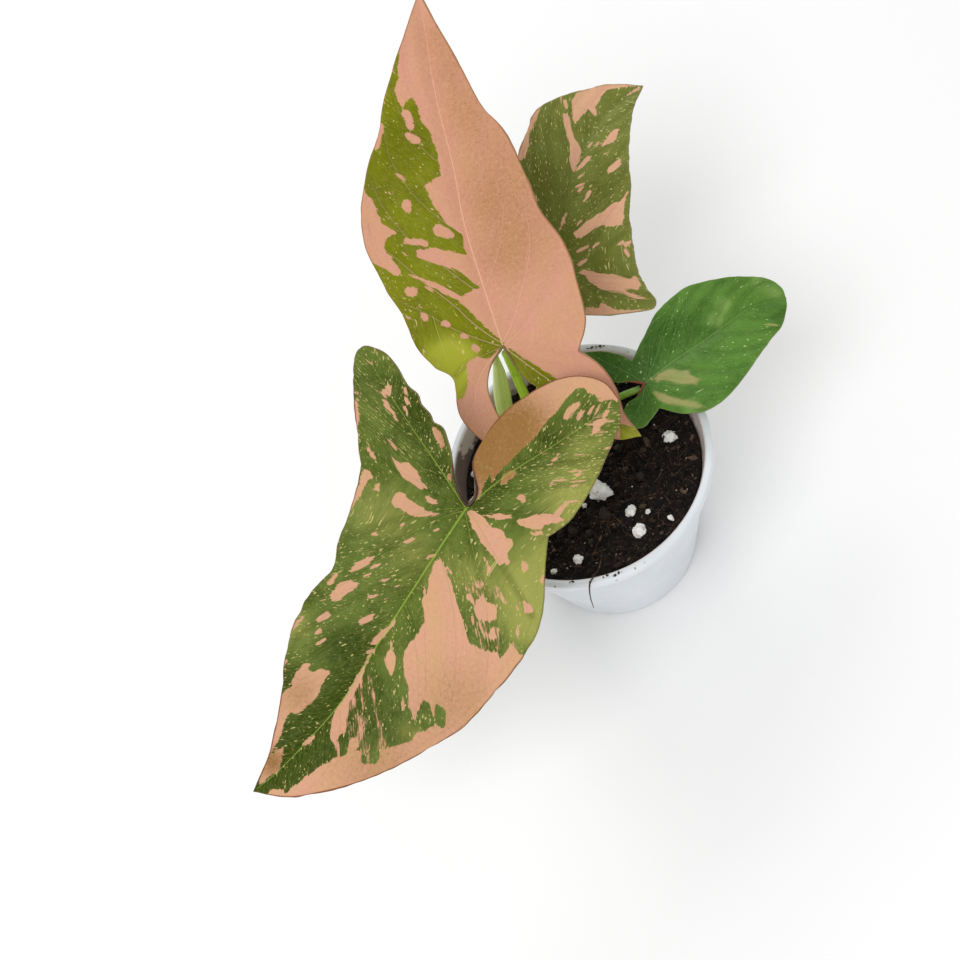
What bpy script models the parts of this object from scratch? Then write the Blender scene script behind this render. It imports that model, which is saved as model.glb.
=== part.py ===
"""Arrowhead plant in a small white nursery pot, at real size.

Metres, +Z up. The origin is the middle of the pot's flat underside. The front of the plant
faces -Y. Flat blade outlines are written in millimetres: x across the blade, to the right as
seen from above with the tip ahead, and y from the leaf stalk towards the tip.
"""

from dataclasses import dataclass
from math import cos, pi, radians, sin
import random

import bmesh
import bpy
from mathutils import Vector, noise

MM = 0.001
GAP = 0.35 * MM

# Pot: a thin moulded cup with a rolled lip.
POT_HEIGHT = 54 * MM
POT_RIM_RADIUS = 35 * MM
POT_BASE_RADIUS = 22.5 * MM
POT_WALL = 1.1 * MM
POT_FLOOR = 1.6 * MM
LIP_WIDTH = 2.3 * MM
LIP_HEIGHT = 3.4 * MM
POT_STEPS = 44
DRAIN_HOLES = 6
DRAIN_RADIUS = 2.6 * MM
DRAIN_CIRCLE = 14 * MM

# Soil: fills the pot to a little below the lip.
SOIL_TOP = 48.2 * MM
SOIL_RINGS = 9
SOIL_STEPS = 40
SOIL_ROUGHNESS = 1.3 * MM
SOIL_LUMP_SIZE = 7 * MM
STEM_DEPTH = 7 * MM
STALK_POINTS = 12

# Perlite: white lumps half sunk in the soil, as (x, y, radius) in millimetres.
SEEN_PERLITE = (
    (0.6, -8.5, 2.8),
    (4.1, -17.9, 1.6),
    (7.4, -20.6, 0.8),
    (2.6, -24.0, 2.0),
    (-14.0, -21.0, 1.3),
    (-20.7, -20.1, 0.8),
    (23.6, -6.5, 1.7),
    (11.1, -25.7, 0.9),
    (-23.5, 17.0, 1.1),
    (-4.8, -9.2, 0.8),
)
SCATTERED_PERLITE = 12
PERLITE_SEED = 7
LUMP_RISE = 0.2

BLADE_THICKNESS = 0.7 * MM
LOBE_SPAN = 30.0
WAVE_REACH = 14.0


@dataclass(frozen=True)
class Half:
    """One half of a blade: its outline in flat millimetres and how it bends, in degrees."""

    lobe_vein: tuple
    sinus: tuple
    lobe_margin: tuple
    margin: tuple
    fold: float
    curl: float
    lobe_droop: float
    sinus_lift: float = 0.0
    wave: float = 0.8
    wave_count: float = 3.0
    wave_phase: float = 0.0


@dataclass(frozen=True)
class Leaf:
    """A blade set on its stalk, with angles in degrees and lengths in millimetres."""

    name: str
    junction: tuple
    heading: float
    rise: float
    roll: float
    droop: float
    length: float
    midrib: tuple
    left: Half
    right: Half
    colour: tuple
    stalk: tuple
    stalk_radii: tuple
    rows: int = 15
    lobe_rows: int = 6
    columns: int = 5
    lobe_columns: int = 3


PINK_LEAF = Leaf(
    name="pink_leaf",
    junction=(-0.8, 18.5, 88.0),
    heading=64,
    rise=42,
    roll=-2,
    droop=24,
    length=88,
    midrib=((0, 0), (-1, 12), (-2.5, 30), (-2.3, 45), (-3.2, 62), (-3, 76), (-3, 89)),
    left=Half(
        lobe_vein=((-6.5, -27), (-9.5, -20), (-10, -12), (-6.5, -5), (0, 0)),
        sinus=((-6.5, -27), (-4.8, -20), (-5.8, -14), (-6, -9), (-4, -4), (0, 0)),
        lobe_margin=((-6.5, -27), (-11.5, -21), (-14.8, -14), (-14, -5.5), (-17.5, -1.5)),
        margin=((-17.5, -1.5), (-20.5, 4), (-22, 12), (-25, 20), (-27.8, 30), (-27, 38),
                (-23.5, 47), (-19, 56), (-16.5, 63), (-12, 71.5), (-7.5, 79.5), (-3, 89)),
        fold=8, curl=12, lobe_droop=8, wave=0.9, wave_count=3.5,
    ),
    right=Half(
        lobe_vein=((28, -28.5), (20, -21), (11, -12), (4, -4.5), (0, 0)),
        sinus=((28, -28.5), (21, -27.5), (13, -19.5), (7, -12.5), (3.2, -8), (0, 0)),
        lobe_margin=((28, -28.5), (25.5, -22), (24.8, -15), (22, -8.5), (18.2, -4.6)),
        margin=((18.2, -4.6), (21.5, 2), (21.5, 11), (20.3, 21), (16.5, 29.5), (15, 38),
                (12, 49), (7.5, 57), (5, 65), (2, 74), (-0.8, 82), (-3, 89)),
        fold=8, curl=12, lobe_droop=8, wave=0.9, wave_count=3.0, wave_phase=0.4,
    ),
    colour=(0.62, 0.29, 0.19),
    stalk=((-4.3, 11.0, 0.0), (-3.7, 12.7, 50.0), (-2.8, 15.2, 58.0), (-1.9, 17.0, 67.0),
           (-1.2, 18.0, 77.0), (-0.9, 17.8, 86.1)),
    stalk_radii=(2.0, 1.7, 1.4, 1.25, 1.2, 1.1),
)

FRONT_LEAF = Leaf(
    name="front_leaf",
    junction=(-29.8, -11.6, 85.0),
    heading=202,
    rise=-8,
    roll=-16,
    droop=12,
    length=86,
    midrib=((0, 0), (0.2, 12), (0.4, 24), (0.8, 38), (1.2, 52), (3.8, 65), (6.6, 75), (9.8, 83)),
    left=Half(
        lobe_vein=((-14.5, -42.3), (-12, -33), (-8.5, -23), (-3.5, -11), (0, 0)),
        sinus=((-14.5, -42.3), (-8.5, -43.4), (-1.5, -39.3), (3.4, -30), (5.8, -20), (5.6, -11),
               (2.4, -5.8), (0, 0)),
        lobe_margin=((-14.5, -42.3), (-18.3, -37), (-20.6, -28), (-22.3, -18), (-22.2, -11),
                     (-20, -4.8)),
        margin=((-20, -4.8), (-24, 2.8), (-28.3, 10.3), (-30, 19), (-29, 31), (-26.3, 43),
                (-20.5, 54.5), (-12.8, 65.7), (-4, 74.7), (2, 79.5), (9.8, 83)),
        fold=8, curl=12, lobe_droop=10, sinus_lift=2.5, wave=0.8, wave_count=2.5,
    ),
    right=Half(
        lobe_vein=((41.5, -20.5), (31, -14.5), (21, -9.5), (10, -4.5), (0, 0)),
        sinus=((41.5, -20.5), (35, -21.5), (27.5, -19), (22, -15.5), (15.5, -13.3), (9.5, -9.7),
               (5.5, -4.5), (0, 0)),
        lobe_margin=((41.5, -20.5), (40, -14), (36.5, -7.8), (31.5, -1.2), (26, 4.5)),
        margin=((26, 4.5), (23.3, 11.5), (21, 22), (19, 28.5), (20.3, 34.5), (19.8, 43),
                (18.2, 50), (14.8, 58.5), (12, 67), (10.3, 74), (9.8, 83)),
        fold=14, curl=12, lobe_droop=-10, sinus_lift=2.0, wave=0.8, wave_count=3.0,
        wave_phase=0.3,
    ),
    colour=(0.16, 0.22, 0.07),
    stalk=((-9.5, 8.5, 0.0), (-10.5, 6.8, 55.0), (-16.5, 0.5, 68.0), (-24.5, -7.0, 78.5),
           (-28.6, -10.6, 82.9)),
    stalk_radii=(1.9, 1.7, 1.4, 1.2, 1.1),
)

BACK_LEAF = Leaf(
    name="back_leaf",
    junction=(25.6, 36.9, 72.0),
    heading=38,
    rise=24,
    roll=6,
    droop=14,
    length=58,
    midrib=((0, 0), (-4, 11), (-5.5, 24), (-4.5, 35), (-1.5, 44), (6, 53)),
    left=Half(
        lobe_vein=((-21, -10), (-14, -7.5), (-6, -3.5), (0, 0)),
        sinus=((-21, -10), (-15.5, -13), (-8.5, -12), (-3.5, -6.5), (0, 0)),
        lobe_margin=((-21, -10), (-21.3, -5), (-18.8, 1), (-17.8, 5)),
        margin=((-17.8, 5), (-20, 13), (-21.5, 22), (-21.2, 32), (-20, 40), (-14.8, 45),
                (-8.5, 48.8), (-3.5, 51.5), (6, 53)),
        fold=8, curl=10, lobe_droop=10, wave=0.7,
    ),
    right=Half(
        lobe_vein=((24.3, -3.8), (17, -3.5), (8, -2.6), (0, 0)),
        sinus=((24.3, -3.8), (18, -6.8), (11.5, -8.8), (6, -9.2), (2.5, -5.5), (0, 0)),
        lobe_margin=((24.3, -3.8), (21.5, -0.3), (18.2, 3.2)),
        margin=((18.2, 3.2), (15.5, 9.5), (12.6, 17), (10.8, 24.5), (8.7, 31), (7, 38),
                (5.6, 46), (6, 53)),
        fold=8, curl=10, lobe_droop=10, wave=0.8, wave_count=2.5, wave_phase=0.2,
    ),
    colour=(0.11, 0.16, 0.07),
    stalk=((-0.8, 19.0, 0.0), (1.0, 20.6, 53.0), (9.5, 26.5, 62.0), (19.5, 33.2, 68.6),
           (24.2, 36.4, 69.9)),
    stalk_radii=(1.7, 1.5, 1.2, 1.1, 1.0),
)

SMALL_LEAF = Leaf(
    name="small_leaf",
    junction=(24.8, 3.2, 62.0),
    heading=1,
    rise=10,
    roll=8,
    droop=30,
    length=43,
    midrib=((0, 0), (-0.8, 11), (-1.6, 23), (-1.3, 34), (0.8, 43.8)),
    left=Half(
        lobe_vein=((-16.8, -6.5), (-10, -3.6), (-4.5, -1.4), (0, 0)),
        sinus=((-16.8, -6.5), (-11.5, -7), (-5.5, -5.7), (-2.6, -2.4), (0, 0)),
        lobe_margin=((-16.8, -6.5), (-13.8, -3), (-10, -0.2), (-6.6, 1.2)),
        margin=((-6.6, 1.2), (-9.5, 6.8), (-13, 14), (-14.6, 22), (-12.7, 29), (-9.6, 36.5),
                (-6.3, 42.3), (-2.5, 44.2), (0.8, 43.8)),
        fold=8, curl=12, lobe_droop=5, wave=0.4,
    ),
    right=Half(
        lobe_vein=((7.3, -10.2), (5.2, -6.5), (2.8, -2.6), (0, 0)),
        sinus=((7.3, -10.2), (3.8, -9.6), (1.4, -6.8), (1.6, -3.4), (0, 0)),
        lobe_margin=((7.3, -10.2), (9.4, -7), (8.7, -3.6), (8, -1.2)),
        margin=((8, -1.2), (13.5, 2.6), (16.8, 8), (16.6, 14.5), (13.4, 24), (10.4, 31),
                (7.8, 37), (4, 41.4), (0.8, 43.8)),
        fold=8, curl=12, lobe_droop=5, wave=0.4,
    ),
    colour=(0.05, 0.15, 0.02),
    stalk=((1.5, 11.0, 0.0), (3.2, 10.2, 52.0), (10.5, 7.8, 57.2), (18.5, 5.0, 59.8),
           (23.4, 3.4, 60.3)),
    stalk_radii=(1.4, 1.3, 1.0, 0.95, 0.9),
    rows=11,
    lobe_rows=4,
    columns=4,
    lobe_columns=2,
)

LEAVES = (PINK_LEAF, FRONT_LEAF, BACK_LEAF, SMALL_LEAF)

# Rolled new leaf: a spear that stands beside the pink leaf's stalk.
SPEAR_PATH = ((-8.8, 15.2, 0.0), (-8.7, 18.0, 50.0), (-8.2, 21.2, 57.0), (-6.2, 23.3, 64.0),
              (-4.2, 24.2, 71.0), (-2.6, 24.5, 79.0))
SPEAR_RADII = (1.9, 2.1, 2.4, 2.4, 1.7, 0.5)


def clear_scene():
    """Remove every object, so that the file starts empty."""
    for found in list(bpy.data.objects):
        bpy.data.objects.remove(found, do_unlink=True)


def make_collection(name, hidden=False):
    """A collection linked to the scene."""
    group = bpy.data.collections.new(name)
    bpy.context.scene.collection.children.link(group)
    group.hide_render = hidden
    return group


def make_material(name, colour, roughness, metallic=0.0):
    """A plain Principled material."""
    material = bpy.data.materials.new(name)
    material.use_nodes = True
    shader = material.node_tree.nodes["Principled BSDF"]
    shader.inputs["Base Color"].default_value = (*colour, 1.0)
    shader.inputs["Roughness"].default_value = roughness
    shader.inputs["Metallic"].default_value = metallic
    return material


def add_object(name, data, group, material=None):
    """Link an object that shows the given mesh or curve."""
    added = bpy.data.objects.new(name, data)
    group.objects.link(added)
    if material is not None:
        data.materials.append(material)
    return added


def mesh_from(name, bm):
    """Finish a bmesh as mesh data with its faces pointing out."""
    bmesh.ops.recalc_face_normals(bm, faces=bm.faces)
    mesh = bpy.data.meshes.new(name)
    bm.to_mesh(mesh)
    bm.free()
    return mesh


def evaluated_mesh(source):
    """The mesh of an object as its modifiers or bevel leave it, with its seams welded."""
    depsgraph = bpy.context.evaluated_depsgraph_get()
    mesh = bpy.data.meshes.new_from_object(source.evaluated_get(depsgraph))
    bm = bmesh.new()
    bm.from_mesh(mesh)
    bmesh.ops.remove_doubles(bm, verts=bm.verts, dist=0.01 * MM)
    bm.to_mesh(mesh)
    bm.free()
    return mesh


def boolean(target, operation, operand):
    """Cut or join an object, or every object of a collection, by the exact solver."""
    modifier = target.modifiers.new(operation.title(), "BOOLEAN")
    modifier.operation = operation
    modifier.solver = "EXACT"
    if isinstance(operand, bpy.types.Collection):
        modifier.operand_type = "COLLECTION"
        modifier.collection = operand
    else:
        modifier.object = operand
    return modifier


def mark_as_cutter(cutter):
    """Show a cutter as wires only."""
    cutter.hide_render = True
    cutter.display_type = "WIRE"


def smooth_point(points, fraction):
    """The point at a fraction of the way along a smooth curve through the given points."""
    knots = [Vector(point) for point in points]
    steps = [(b - a).length for a, b in zip(knots, knots[1:])]
    distance = min(max(fraction, 0.0), 1.0) * sum(steps)
    index = 0
    while index < len(steps) - 1 and distance > steps[index]:
        distance -= steps[index]
        index += 1
    t = min(distance / steps[index], 1.0)
    start, end = knots[index], knots[index + 1]
    before = knots[index - 1] if index > 0 else start * 2 - end
    after = knots[index + 2] if index + 2 < len(knots) else end * 2 - start
    leave = (end - before) / 2
    arrive = (after - start) / 2
    return (start * (2 * t**3 - 3 * t**2 + 1) + leave * (t**3 - 2 * t**2 + t)
            + end * (3 * t**2 - 2 * t**3) + arrive * (t**3 - t**2))


def arc(angle, bend, distance):
    """How far along and how high an arc leads that starts at an angle and bends down."""
    if abs(bend) < 1e-9:
        return distance * cos(angle), distance * sin(angle)
    end = angle - bend * distance
    return (sin(angle) - sin(end)) / bend, (cos(end) - cos(angle)) / bend


def blade_point(leaf, half, flat, hinge, lift):
    """Where a point of the flat blade stands in the world.

    The half folds about the line x = hinge, and the lift raises the point, in millimetres.
    """
    sign = 1.0 if half is leaf.right else -1.0
    ahead, behind = max(flat.y, 0.0), max(-flat.y, 0.0)
    rise = radians(leaf.rise)
    droop = radians(leaf.droop) / leaf.length
    lobe_droop = radians(half.lobe_droop) / LOBE_SPAN
    forward, climb = arc(rise, droop, ahead)
    backward, sink = arc(-rise, lobe_droop, behind)
    slope = rise - droop * ahead + lobe_droop * behind
    folded, up = arc(radians(half.fold), radians(half.curl) / LOBE_SPAN, sign * (flat.x - hinge))
    across = hinge + sign * folded
    up += lift
    roll = radians(leaf.roll)
    side = across * cos(roll) + up * sin(roll)
    height = up * cos(roll) - across * sin(roll)
    turn = radians(leaf.heading)
    ahead_axis = Vector((cos(turn), sin(turn), 0))
    side_axis = Vector((sin(turn), -cos(turn), 0))
    up_axis = Vector((0, 0, 1))
    normal = up_axis * cos(slope) - ahead_axis * sin(slope)
    place = (Vector(leaf.junction) + ahead_axis * (forward - backward)
             + up_axis * (climb + sink) + side_axis * side + normal * height)
    return place * MM


def row_ends(leaf, half, row):
    """The inner and outer flat points of one row of the outer blade."""
    if row <= leaf.lobe_rows:
        part = row / leaf.lobe_rows
        return smooth_point(half.lobe_vein, part), smooth_point(half.lobe_margin, part)
    part = (row - leaf.lobe_rows) / leaf.rows
    return smooth_point(leaf.midrib, part), smooth_point(half.margin, part)


def add_outer_blade(bm, leaf, half):
    """The sheet between the lobe vein and midrib on one side and the outer margin."""
    total = leaf.lobe_rows + leaf.rows
    grid = bmesh.ops.create_grid(bm, x_segments=total, y_segments=leaf.columns, size=0.5)
    for vert in grid["verts"]:
        row = round((vert.co.x + 0.5) * total)
        out = vert.co.y + 0.5
        inner, outer = row_ends(leaf, half, row)
        wave = sin(2 * pi * (half.wave_count * row / total + half.wave_phase))
        room = min(1.0, (outer - inner).length / WAVE_REACH)
        lift = half.wave * wave * room * out**2
        hinge = inner.x if row > leaf.lobe_rows else 0.0
        vert.co = blade_point(leaf, half, inner.lerp(outer, out), hinge, lift)


def add_lobe_strip(bm, leaf, half):
    """The sheet between the lobe vein and the edge of the sinus."""
    grid = bmesh.ops.create_grid(bm, x_segments=leaf.lobe_rows, y_segments=leaf.lobe_columns,
                                 size=0.5)
    for vert in grid["verts"]:
        part = round((vert.co.x + 0.5) * leaf.lobe_rows) / leaf.lobe_rows
        out = vert.co.y + 0.5
        inner = smooth_point(half.lobe_vein, part)
        outer = smooth_point(half.sinus, part)
        lift = half.sinus_lift * sin(pi * part) * out**2
        vert.co = blade_point(leaf, half, inner.lerp(outer, out), 0.0, lift)


def make_blade(leaf, group):
    """A blade: four waved sheets welded along the veins, split alike, then given thickness."""
    bm = bmesh.new()
    for half in (leaf.left, leaf.right):
        add_outer_blade(bm, leaf, half)
        add_lobe_strip(bm, leaf, half)
    bmesh.ops.remove_doubles(bm, verts=bm.verts, dist=0.02 * MM)
    mesh = mesh_from(leaf.name + "_blade", bm)
    if sum((face.normal.z * face.area for face in mesh.polygons)) < 0:
        mesh.flip_normals()
    material = make_material(leaf.name + "_blade", leaf.colour, 0.45)
    blade = add_object(leaf.name + "_blade", mesh, group, material)
    blade.modifiers.new("Triangulate", "TRIANGULATE")
    shell = blade.modifiers.new("Solidify", "SOLIDIFY")
    shell.thickness = BLADE_THICKNESS
    shell.offset = -1.0
    mesh.shade_smooth()
    return blade


def make_tube(name, path, radii, extra, group):
    """A round stalk along a smooth path, with its radius easing from point to point."""
    curve = bpy.data.curves.new(name, "CURVE")
    curve.dimensions = "3D"
    curve.bevel_depth = MM
    curve.bevel_resolution = 2
    curve.use_fill_caps = True
    spline = curve.splines.new("POLY")
    spline.points.add(STALK_POINTS - 1)
    for index, point in enumerate(spline.points):
        part = index / (STALK_POINTS - 1)
        along = part * (len(radii) - 1)
        first = min(int(along), len(radii) - 2)
        radius = radii[first] + (radii[first + 1] - radii[first]) * (along - first)
        point.co = (*(smooth_point(path, part) * MM), 1.0)
        point.radius = radius + extra / MM
    return add_object(name, curve, group)


def stalk_path(path, extra=0.0):
    """A path in millimetres whose first point is set below the soil's top."""
    x, y, _ = path[0]
    buried = (x, y, (SOIL_TOP - STEM_DEPTH - extra) / MM)
    return (buried, *path[1:])


def make_stalk(name, path, radii, group, cutters, colour):
    """A stalk and the cutter that leaves it a plain hole in the soil."""
    stalk = make_tube(name, stalk_path(path), radii, 0.0, group)
    stalk.data.materials.append(make_material(name, colour, 0.4))
    rough = make_tube(name + "_hole_curve", stalk_path(path, GAP), radii, GAP, cutters)
    cutter = add_object(name + "_hole", evaluated_mesh(rough), cutters)
    cutter.matrix_world = rough.matrix_world
    bpy.data.objects.remove(rough, do_unlink=True)
    mark_as_cutter(cutter)
    return cutter


def pot_radius(height):
    """The outer radius of the plain wall at a height."""
    under_lip = POT_RIM_RADIUS - LIP_WIDTH + POT_WALL
    return POT_BASE_RADIUS + (under_lip - POT_BASE_RADIUS) * height / POT_HEIGHT


def pot_profile():
    """The pot's section, from the middle of its floor over the lip to the middle beneath."""
    lip_inner = POT_RIM_RADIUS - LIP_WIDTH
    lip_mid = (lip_inner + POT_RIM_RADIUS) / 2
    lip_foot = POT_HEIGHT - LIP_HEIGHT
    edge = 0.6 * MM
    return (
        (0.0, POT_FLOOR),
        (pot_radius(POT_FLOOR) - POT_WALL, POT_FLOOR),
        (pot_radius(lip_foot) - POT_WALL, lip_foot),
        (lip_inner, POT_HEIGHT - edge),
        (lip_inner + edge / 2, POT_HEIGHT - edge / 4),
        (lip_mid, POT_HEIGHT),
        (POT_RIM_RADIUS - edge / 2, POT_HEIGHT - edge / 3),
        (POT_RIM_RADIUS, POT_HEIGHT - 2 * edge),
        (POT_RIM_RADIUS - edge / 2, lip_foot + edge / 2),
        (POT_RIM_RADIUS - edge, lip_foot),
        (pot_radius(lip_foot), lip_foot),
        (pot_radius(edge), edge),
        (POT_BASE_RADIUS - edge / 2, 0.0),
        (0.0, 0.0),
    )


def make_pot(group, cutters):
    """The pot, turned from its section, with drain holes through the floor."""
    profile = pot_profile()
    mesh = bpy.data.meshes.new("pot")
    edges = [(index, index + 1) for index in range(len(profile) - 1)]
    mesh.from_pydata([(x, 0.0, z) for x, z in profile], edges, [])
    pot = add_object("pot", mesh, group, make_material("pot", (0.78, 0.82, 0.86), 0.35))
    turn = pot.modifiers.new("Turn", "SCREW")
    turn.steps = POT_STEPS
    turn.render_steps = POT_STEPS
    turn.use_merge_vertices = True
    turn.merge_threshold = 0.05 * MM
    turn.use_normal_calculate = True
    bm = bmesh.new()
    for index in range(DRAIN_HOLES):
        angle = 2 * pi * index / DRAIN_HOLES
        drill = bmesh.ops.create_cone(bm, cap_ends=True, segments=10, radius1=DRAIN_RADIUS,
                                      radius2=DRAIN_RADIUS, depth=4 * POT_FLOOR)
        centre = Vector((cos(angle), sin(angle), 0)) * DRAIN_CIRCLE
        bmesh.ops.translate(bm, verts=drill["verts"], vec=centre)
    drills = add_object("drain_drills", mesh_from("drain_drills", bm), cutters)
    mark_as_cutter(drills)
    boolean(pot, "DIFFERENCE", drills)
    return pot


def soil_wall_radius(height):
    """The soil's radius at a height, just clear of the pot's wall."""
    return pot_radius(height) - POT_WALL - 1.5 * GAP


def soil_height(x, y):
    """The soil's uneven top, settling to an even line at the pot's wall."""
    spot = Vector((x, y, 0.0)) / SOIL_LUMP_SIZE
    rough = noise.noise(spot) + 0.5 * noise.noise(spot * 2.3)
    inward = 1.0 - Vector((x, y)).length / soil_wall_radius(SOIL_TOP)
    return SOIL_TOP + SOIL_ROUGHNESS * rough * min(1.0, 3.0 * inward)


def make_soil_body(group):
    """The soil plug: a spun section whose top is then made uneven."""
    top_radius = soil_wall_radius(SOIL_TOP)
    floor = POT_FLOOR + GAP
    section = [Vector((0, 0, floor)), Vector((soil_wall_radius(floor), 0, floor))]
    section += [Vector((top_radius * (1 - ring / SOIL_RINGS), 0, SOIL_TOP))
                for ring in range(SOIL_RINGS + 1)]
    bm = bmesh.new()
    verts = [bm.verts.new(point) for point in section]
    edges = [bm.edges.new(pair) for pair in zip(verts, verts[1:])]
    bmesh.ops.spin(bm, geom=verts + edges, cent=(0, 0, 0), axis=(0, 0, 1), angle=2 * pi,
                   steps=SOIL_STEPS, use_merge=True)
    bmesh.ops.remove_doubles(bm, verts=bm.verts, dist=0.05 * MM)
    for vert in bm.verts:
        if vert.co.z > SOIL_TOP - GAP:
            vert.co.z = soil_height(vert.co.x, vert.co.y)
    material = make_material("soil", (0.016, 0.011, 0.009), 0.95)
    return add_object("soil", mesh_from("soil", bm), group, material)


def add_lump(bm, draw, place, radius):
    """One perlite lump: an uneven ball, half sunk in the soil."""
    detail = 2 if radius > 1.4 * MM else 1
    lump = bmesh.ops.create_icosphere(bm, subdivisions=detail, radius=radius)
    stretch = Vector((draw.uniform(0.85, 1.2), draw.uniform(0.8, 1.1), draw.uniform(0.7, 0.95)))
    for vert in lump["verts"]:
        bump = 1.0 + 0.16 * noise.noise(vert.co / radius * 1.7 + place * 900)
        vert.co = place + vert.co * stretch * bump


def perlite_spots(draw):
    """Every lump's (x, y, radius) in metres: the seen ones, then a seeded scatter."""
    spots = [(x * MM, y * MM, radius * MM) for x, y, radius in SEEN_PERLITE]
    stems = [Vector(leaf.stalk[1][:2]) * MM for leaf in LEAVES] + [Vector(SPEAR_PATH[1][:2]) * MM]
    reach = soil_wall_radius(SOIL_TOP) - 3 * MM
    while len(spots) < len(SEEN_PERLITE) + SCATTERED_PERLITE:
        angle = draw.uniform(0, 2 * pi)
        away = reach * draw.random() ** 0.5
        x, y, radius = away * cos(angle), away * sin(angle), draw.uniform(0.8, 1.8) * MM
        clear_of_stems = all((Vector((x, y)) - stem).length > radius + 4 * MM for stem in stems)
        clear_of_lumps = all((Vector((x, y)) - Vector(spot[:2])).length > radius + spot[2] + MM
                             for spot in spots)
        if clear_of_stems and clear_of_lumps:
            spots.append((x, y, radius))
    return spots


def join_perlite(soil, group):
    """Fuse the perlite lumps into the soil that holds them."""
    draw = random.Random(PERLITE_SEED)
    lumps = make_collection("perlite")
    for index, (x, y, radius) in enumerate(perlite_spots(draw)):
        bm = bmesh.new()
        place = Vector((x, y, soil_height(x, y) + LUMP_RISE * radius))
        add_lump(bm, draw, place, radius)
        add_object(f"perlite_{index}", mesh_from(f"perlite_{index}", bm), lumps)
    join = boolean(soil, "UNION", lumps)
    joined = evaluated_mesh(soil)
    soil.modifiers.remove(join)
    soil.data = joined
    for lump in list(lumps.objects):
        bpy.data.objects.remove(lump, do_unlink=True)
    bpy.data.collections.remove(lumps)


def build():
    """Make the pot, the soil and every leaf with its stalk."""
    clear_scene()
    plant = make_collection("arrowhead_plant")
    cutters = make_collection("cutters", hidden=True)
    make_pot(plant, cutters)
    soil = make_soil_body(plant)
    join_perlite(soil, plant)
    holes = []
    for leaf in LEAVES:
        make_blade(leaf, plant)
        holes.append(make_stalk(leaf.name + "_petiole", leaf.stalk, leaf.stalk_radii, plant,
                                cutters, (0.16, 0.30, 0.03)))
    holes.append(make_stalk("rolled_new_leaf", SPEAR_PATH, SPEAR_RADII, plant, cutters,
                            (0.42, 0.55, 0.14)))
    for hole in holes:
        boolean(soil, "DIFFERENCE", hole)


build()
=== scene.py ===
"""Looks for the arrowhead plant in its small white pot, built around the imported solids.

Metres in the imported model's frame, +Z up, with the origin under the middle of the pot. Flat blade
outlines are in millimetres, as in the part's source: x runs across the blade, to the right as seen
from above with the tip ahead, and y runs from the leaf stalk towards the tip.
"""

from __future__ import annotations

import logging
import random
from dataclasses import dataclass
from enum import Enum
from functools import lru_cache
from math import cos, exp, hypot, pi, radians, sin, tau

import bmesh
import bpy
import numpy as np
from mathutils import Matrix, Vector, noise

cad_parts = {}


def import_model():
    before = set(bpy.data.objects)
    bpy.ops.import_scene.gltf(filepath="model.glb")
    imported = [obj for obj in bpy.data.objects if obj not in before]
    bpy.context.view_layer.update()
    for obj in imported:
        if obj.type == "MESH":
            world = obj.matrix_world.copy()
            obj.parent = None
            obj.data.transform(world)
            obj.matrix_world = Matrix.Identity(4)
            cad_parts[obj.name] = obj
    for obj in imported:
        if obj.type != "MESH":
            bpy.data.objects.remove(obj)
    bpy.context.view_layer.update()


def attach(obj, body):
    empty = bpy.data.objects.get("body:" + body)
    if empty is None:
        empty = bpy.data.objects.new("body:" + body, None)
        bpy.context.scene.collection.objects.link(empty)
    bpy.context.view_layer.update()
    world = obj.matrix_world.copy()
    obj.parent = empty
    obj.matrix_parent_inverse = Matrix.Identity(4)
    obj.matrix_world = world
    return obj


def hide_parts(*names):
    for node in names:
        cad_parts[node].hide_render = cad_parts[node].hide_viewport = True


LOG = logging.getLogger("arrowhead_plant")
MM = 0.001

# How the flat blades bend, as in the part's source.
LOBE_SPAN = 30.0
WAVE_REACH = 14.0
UNEVEN_REACH = 9
BLADE_THICKNESS = 0.5 * MM
QUILT_DEPTH = 0.5
QUILT_REACH = 2.2
VEIN_LEAN = 0.85
LEAN_REACH = 12.0
MOTTLED_DEPTH = -0.14

# The pot and the soil in it.
POT_HEIGHT = 54.0
POT_RIM_RADIUS = 35.0
POT_BASE_RADIUS = 22.5
POT_WALL = 1.1
POT_FLOOR = 1.6
LIP_WIDTH = 2.3
LIP_HEIGHT = 3.4
SOIL_TOP = 48.2
SOIL_ROUGHNESS = 1.3
SOIL_LUMP_SIZE = 7.0
WALL_CLEARANCE = 1.0
STEM_DEPTH = 7.0

# The soil's clods and crumbs: how close together, per millimetre, and how high.
CLODS = ((0.32, 1.3), (0.8, 1.2), (1.9, 0.6))

# What lies on the soil: grains as (x, y, radius), and a root through its points.
SEEN_PERLITE = (
    (0.6, -8.5, 2.8), (4.1, -17.9, 1.6), (7.4, -20.6, 0.8), (2.6, -24.0, 2.0),
    (-14.0, -21.0, 1.3), (-20.7, -20.1, 0.8), (23.6, -6.5, 1.7), (11.1, -25.7, 0.9),
    (-23.5, 17.0, 1.1), (-4.8, -9.2, 0.8),
)
SCATTERED_PERLITE = 12
PERLITE_SEED = 7
PERLITE_RADII = (0.8, 1.8)
PERLITE_FROM_EDGE = 3
PERLITE_FROM_STEM = 4
PERLITE_APART = 1
ROOT_THREAD = ((-9.0, -24.5, 48.6), (-11.5, -27.5, 50.5), (-13.6, -29.9, 54.1),
               (-15.6, -31.4, 54.3), (-17.0, -32.6, 50.5), (-17.6, -32.4, 44.0))

# Crumbs on the lip: the first and last angle of each run, and how many lie in it.
LIP_CRUMBS = ((-128, -96, 9), (38, 72, 16))


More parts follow.
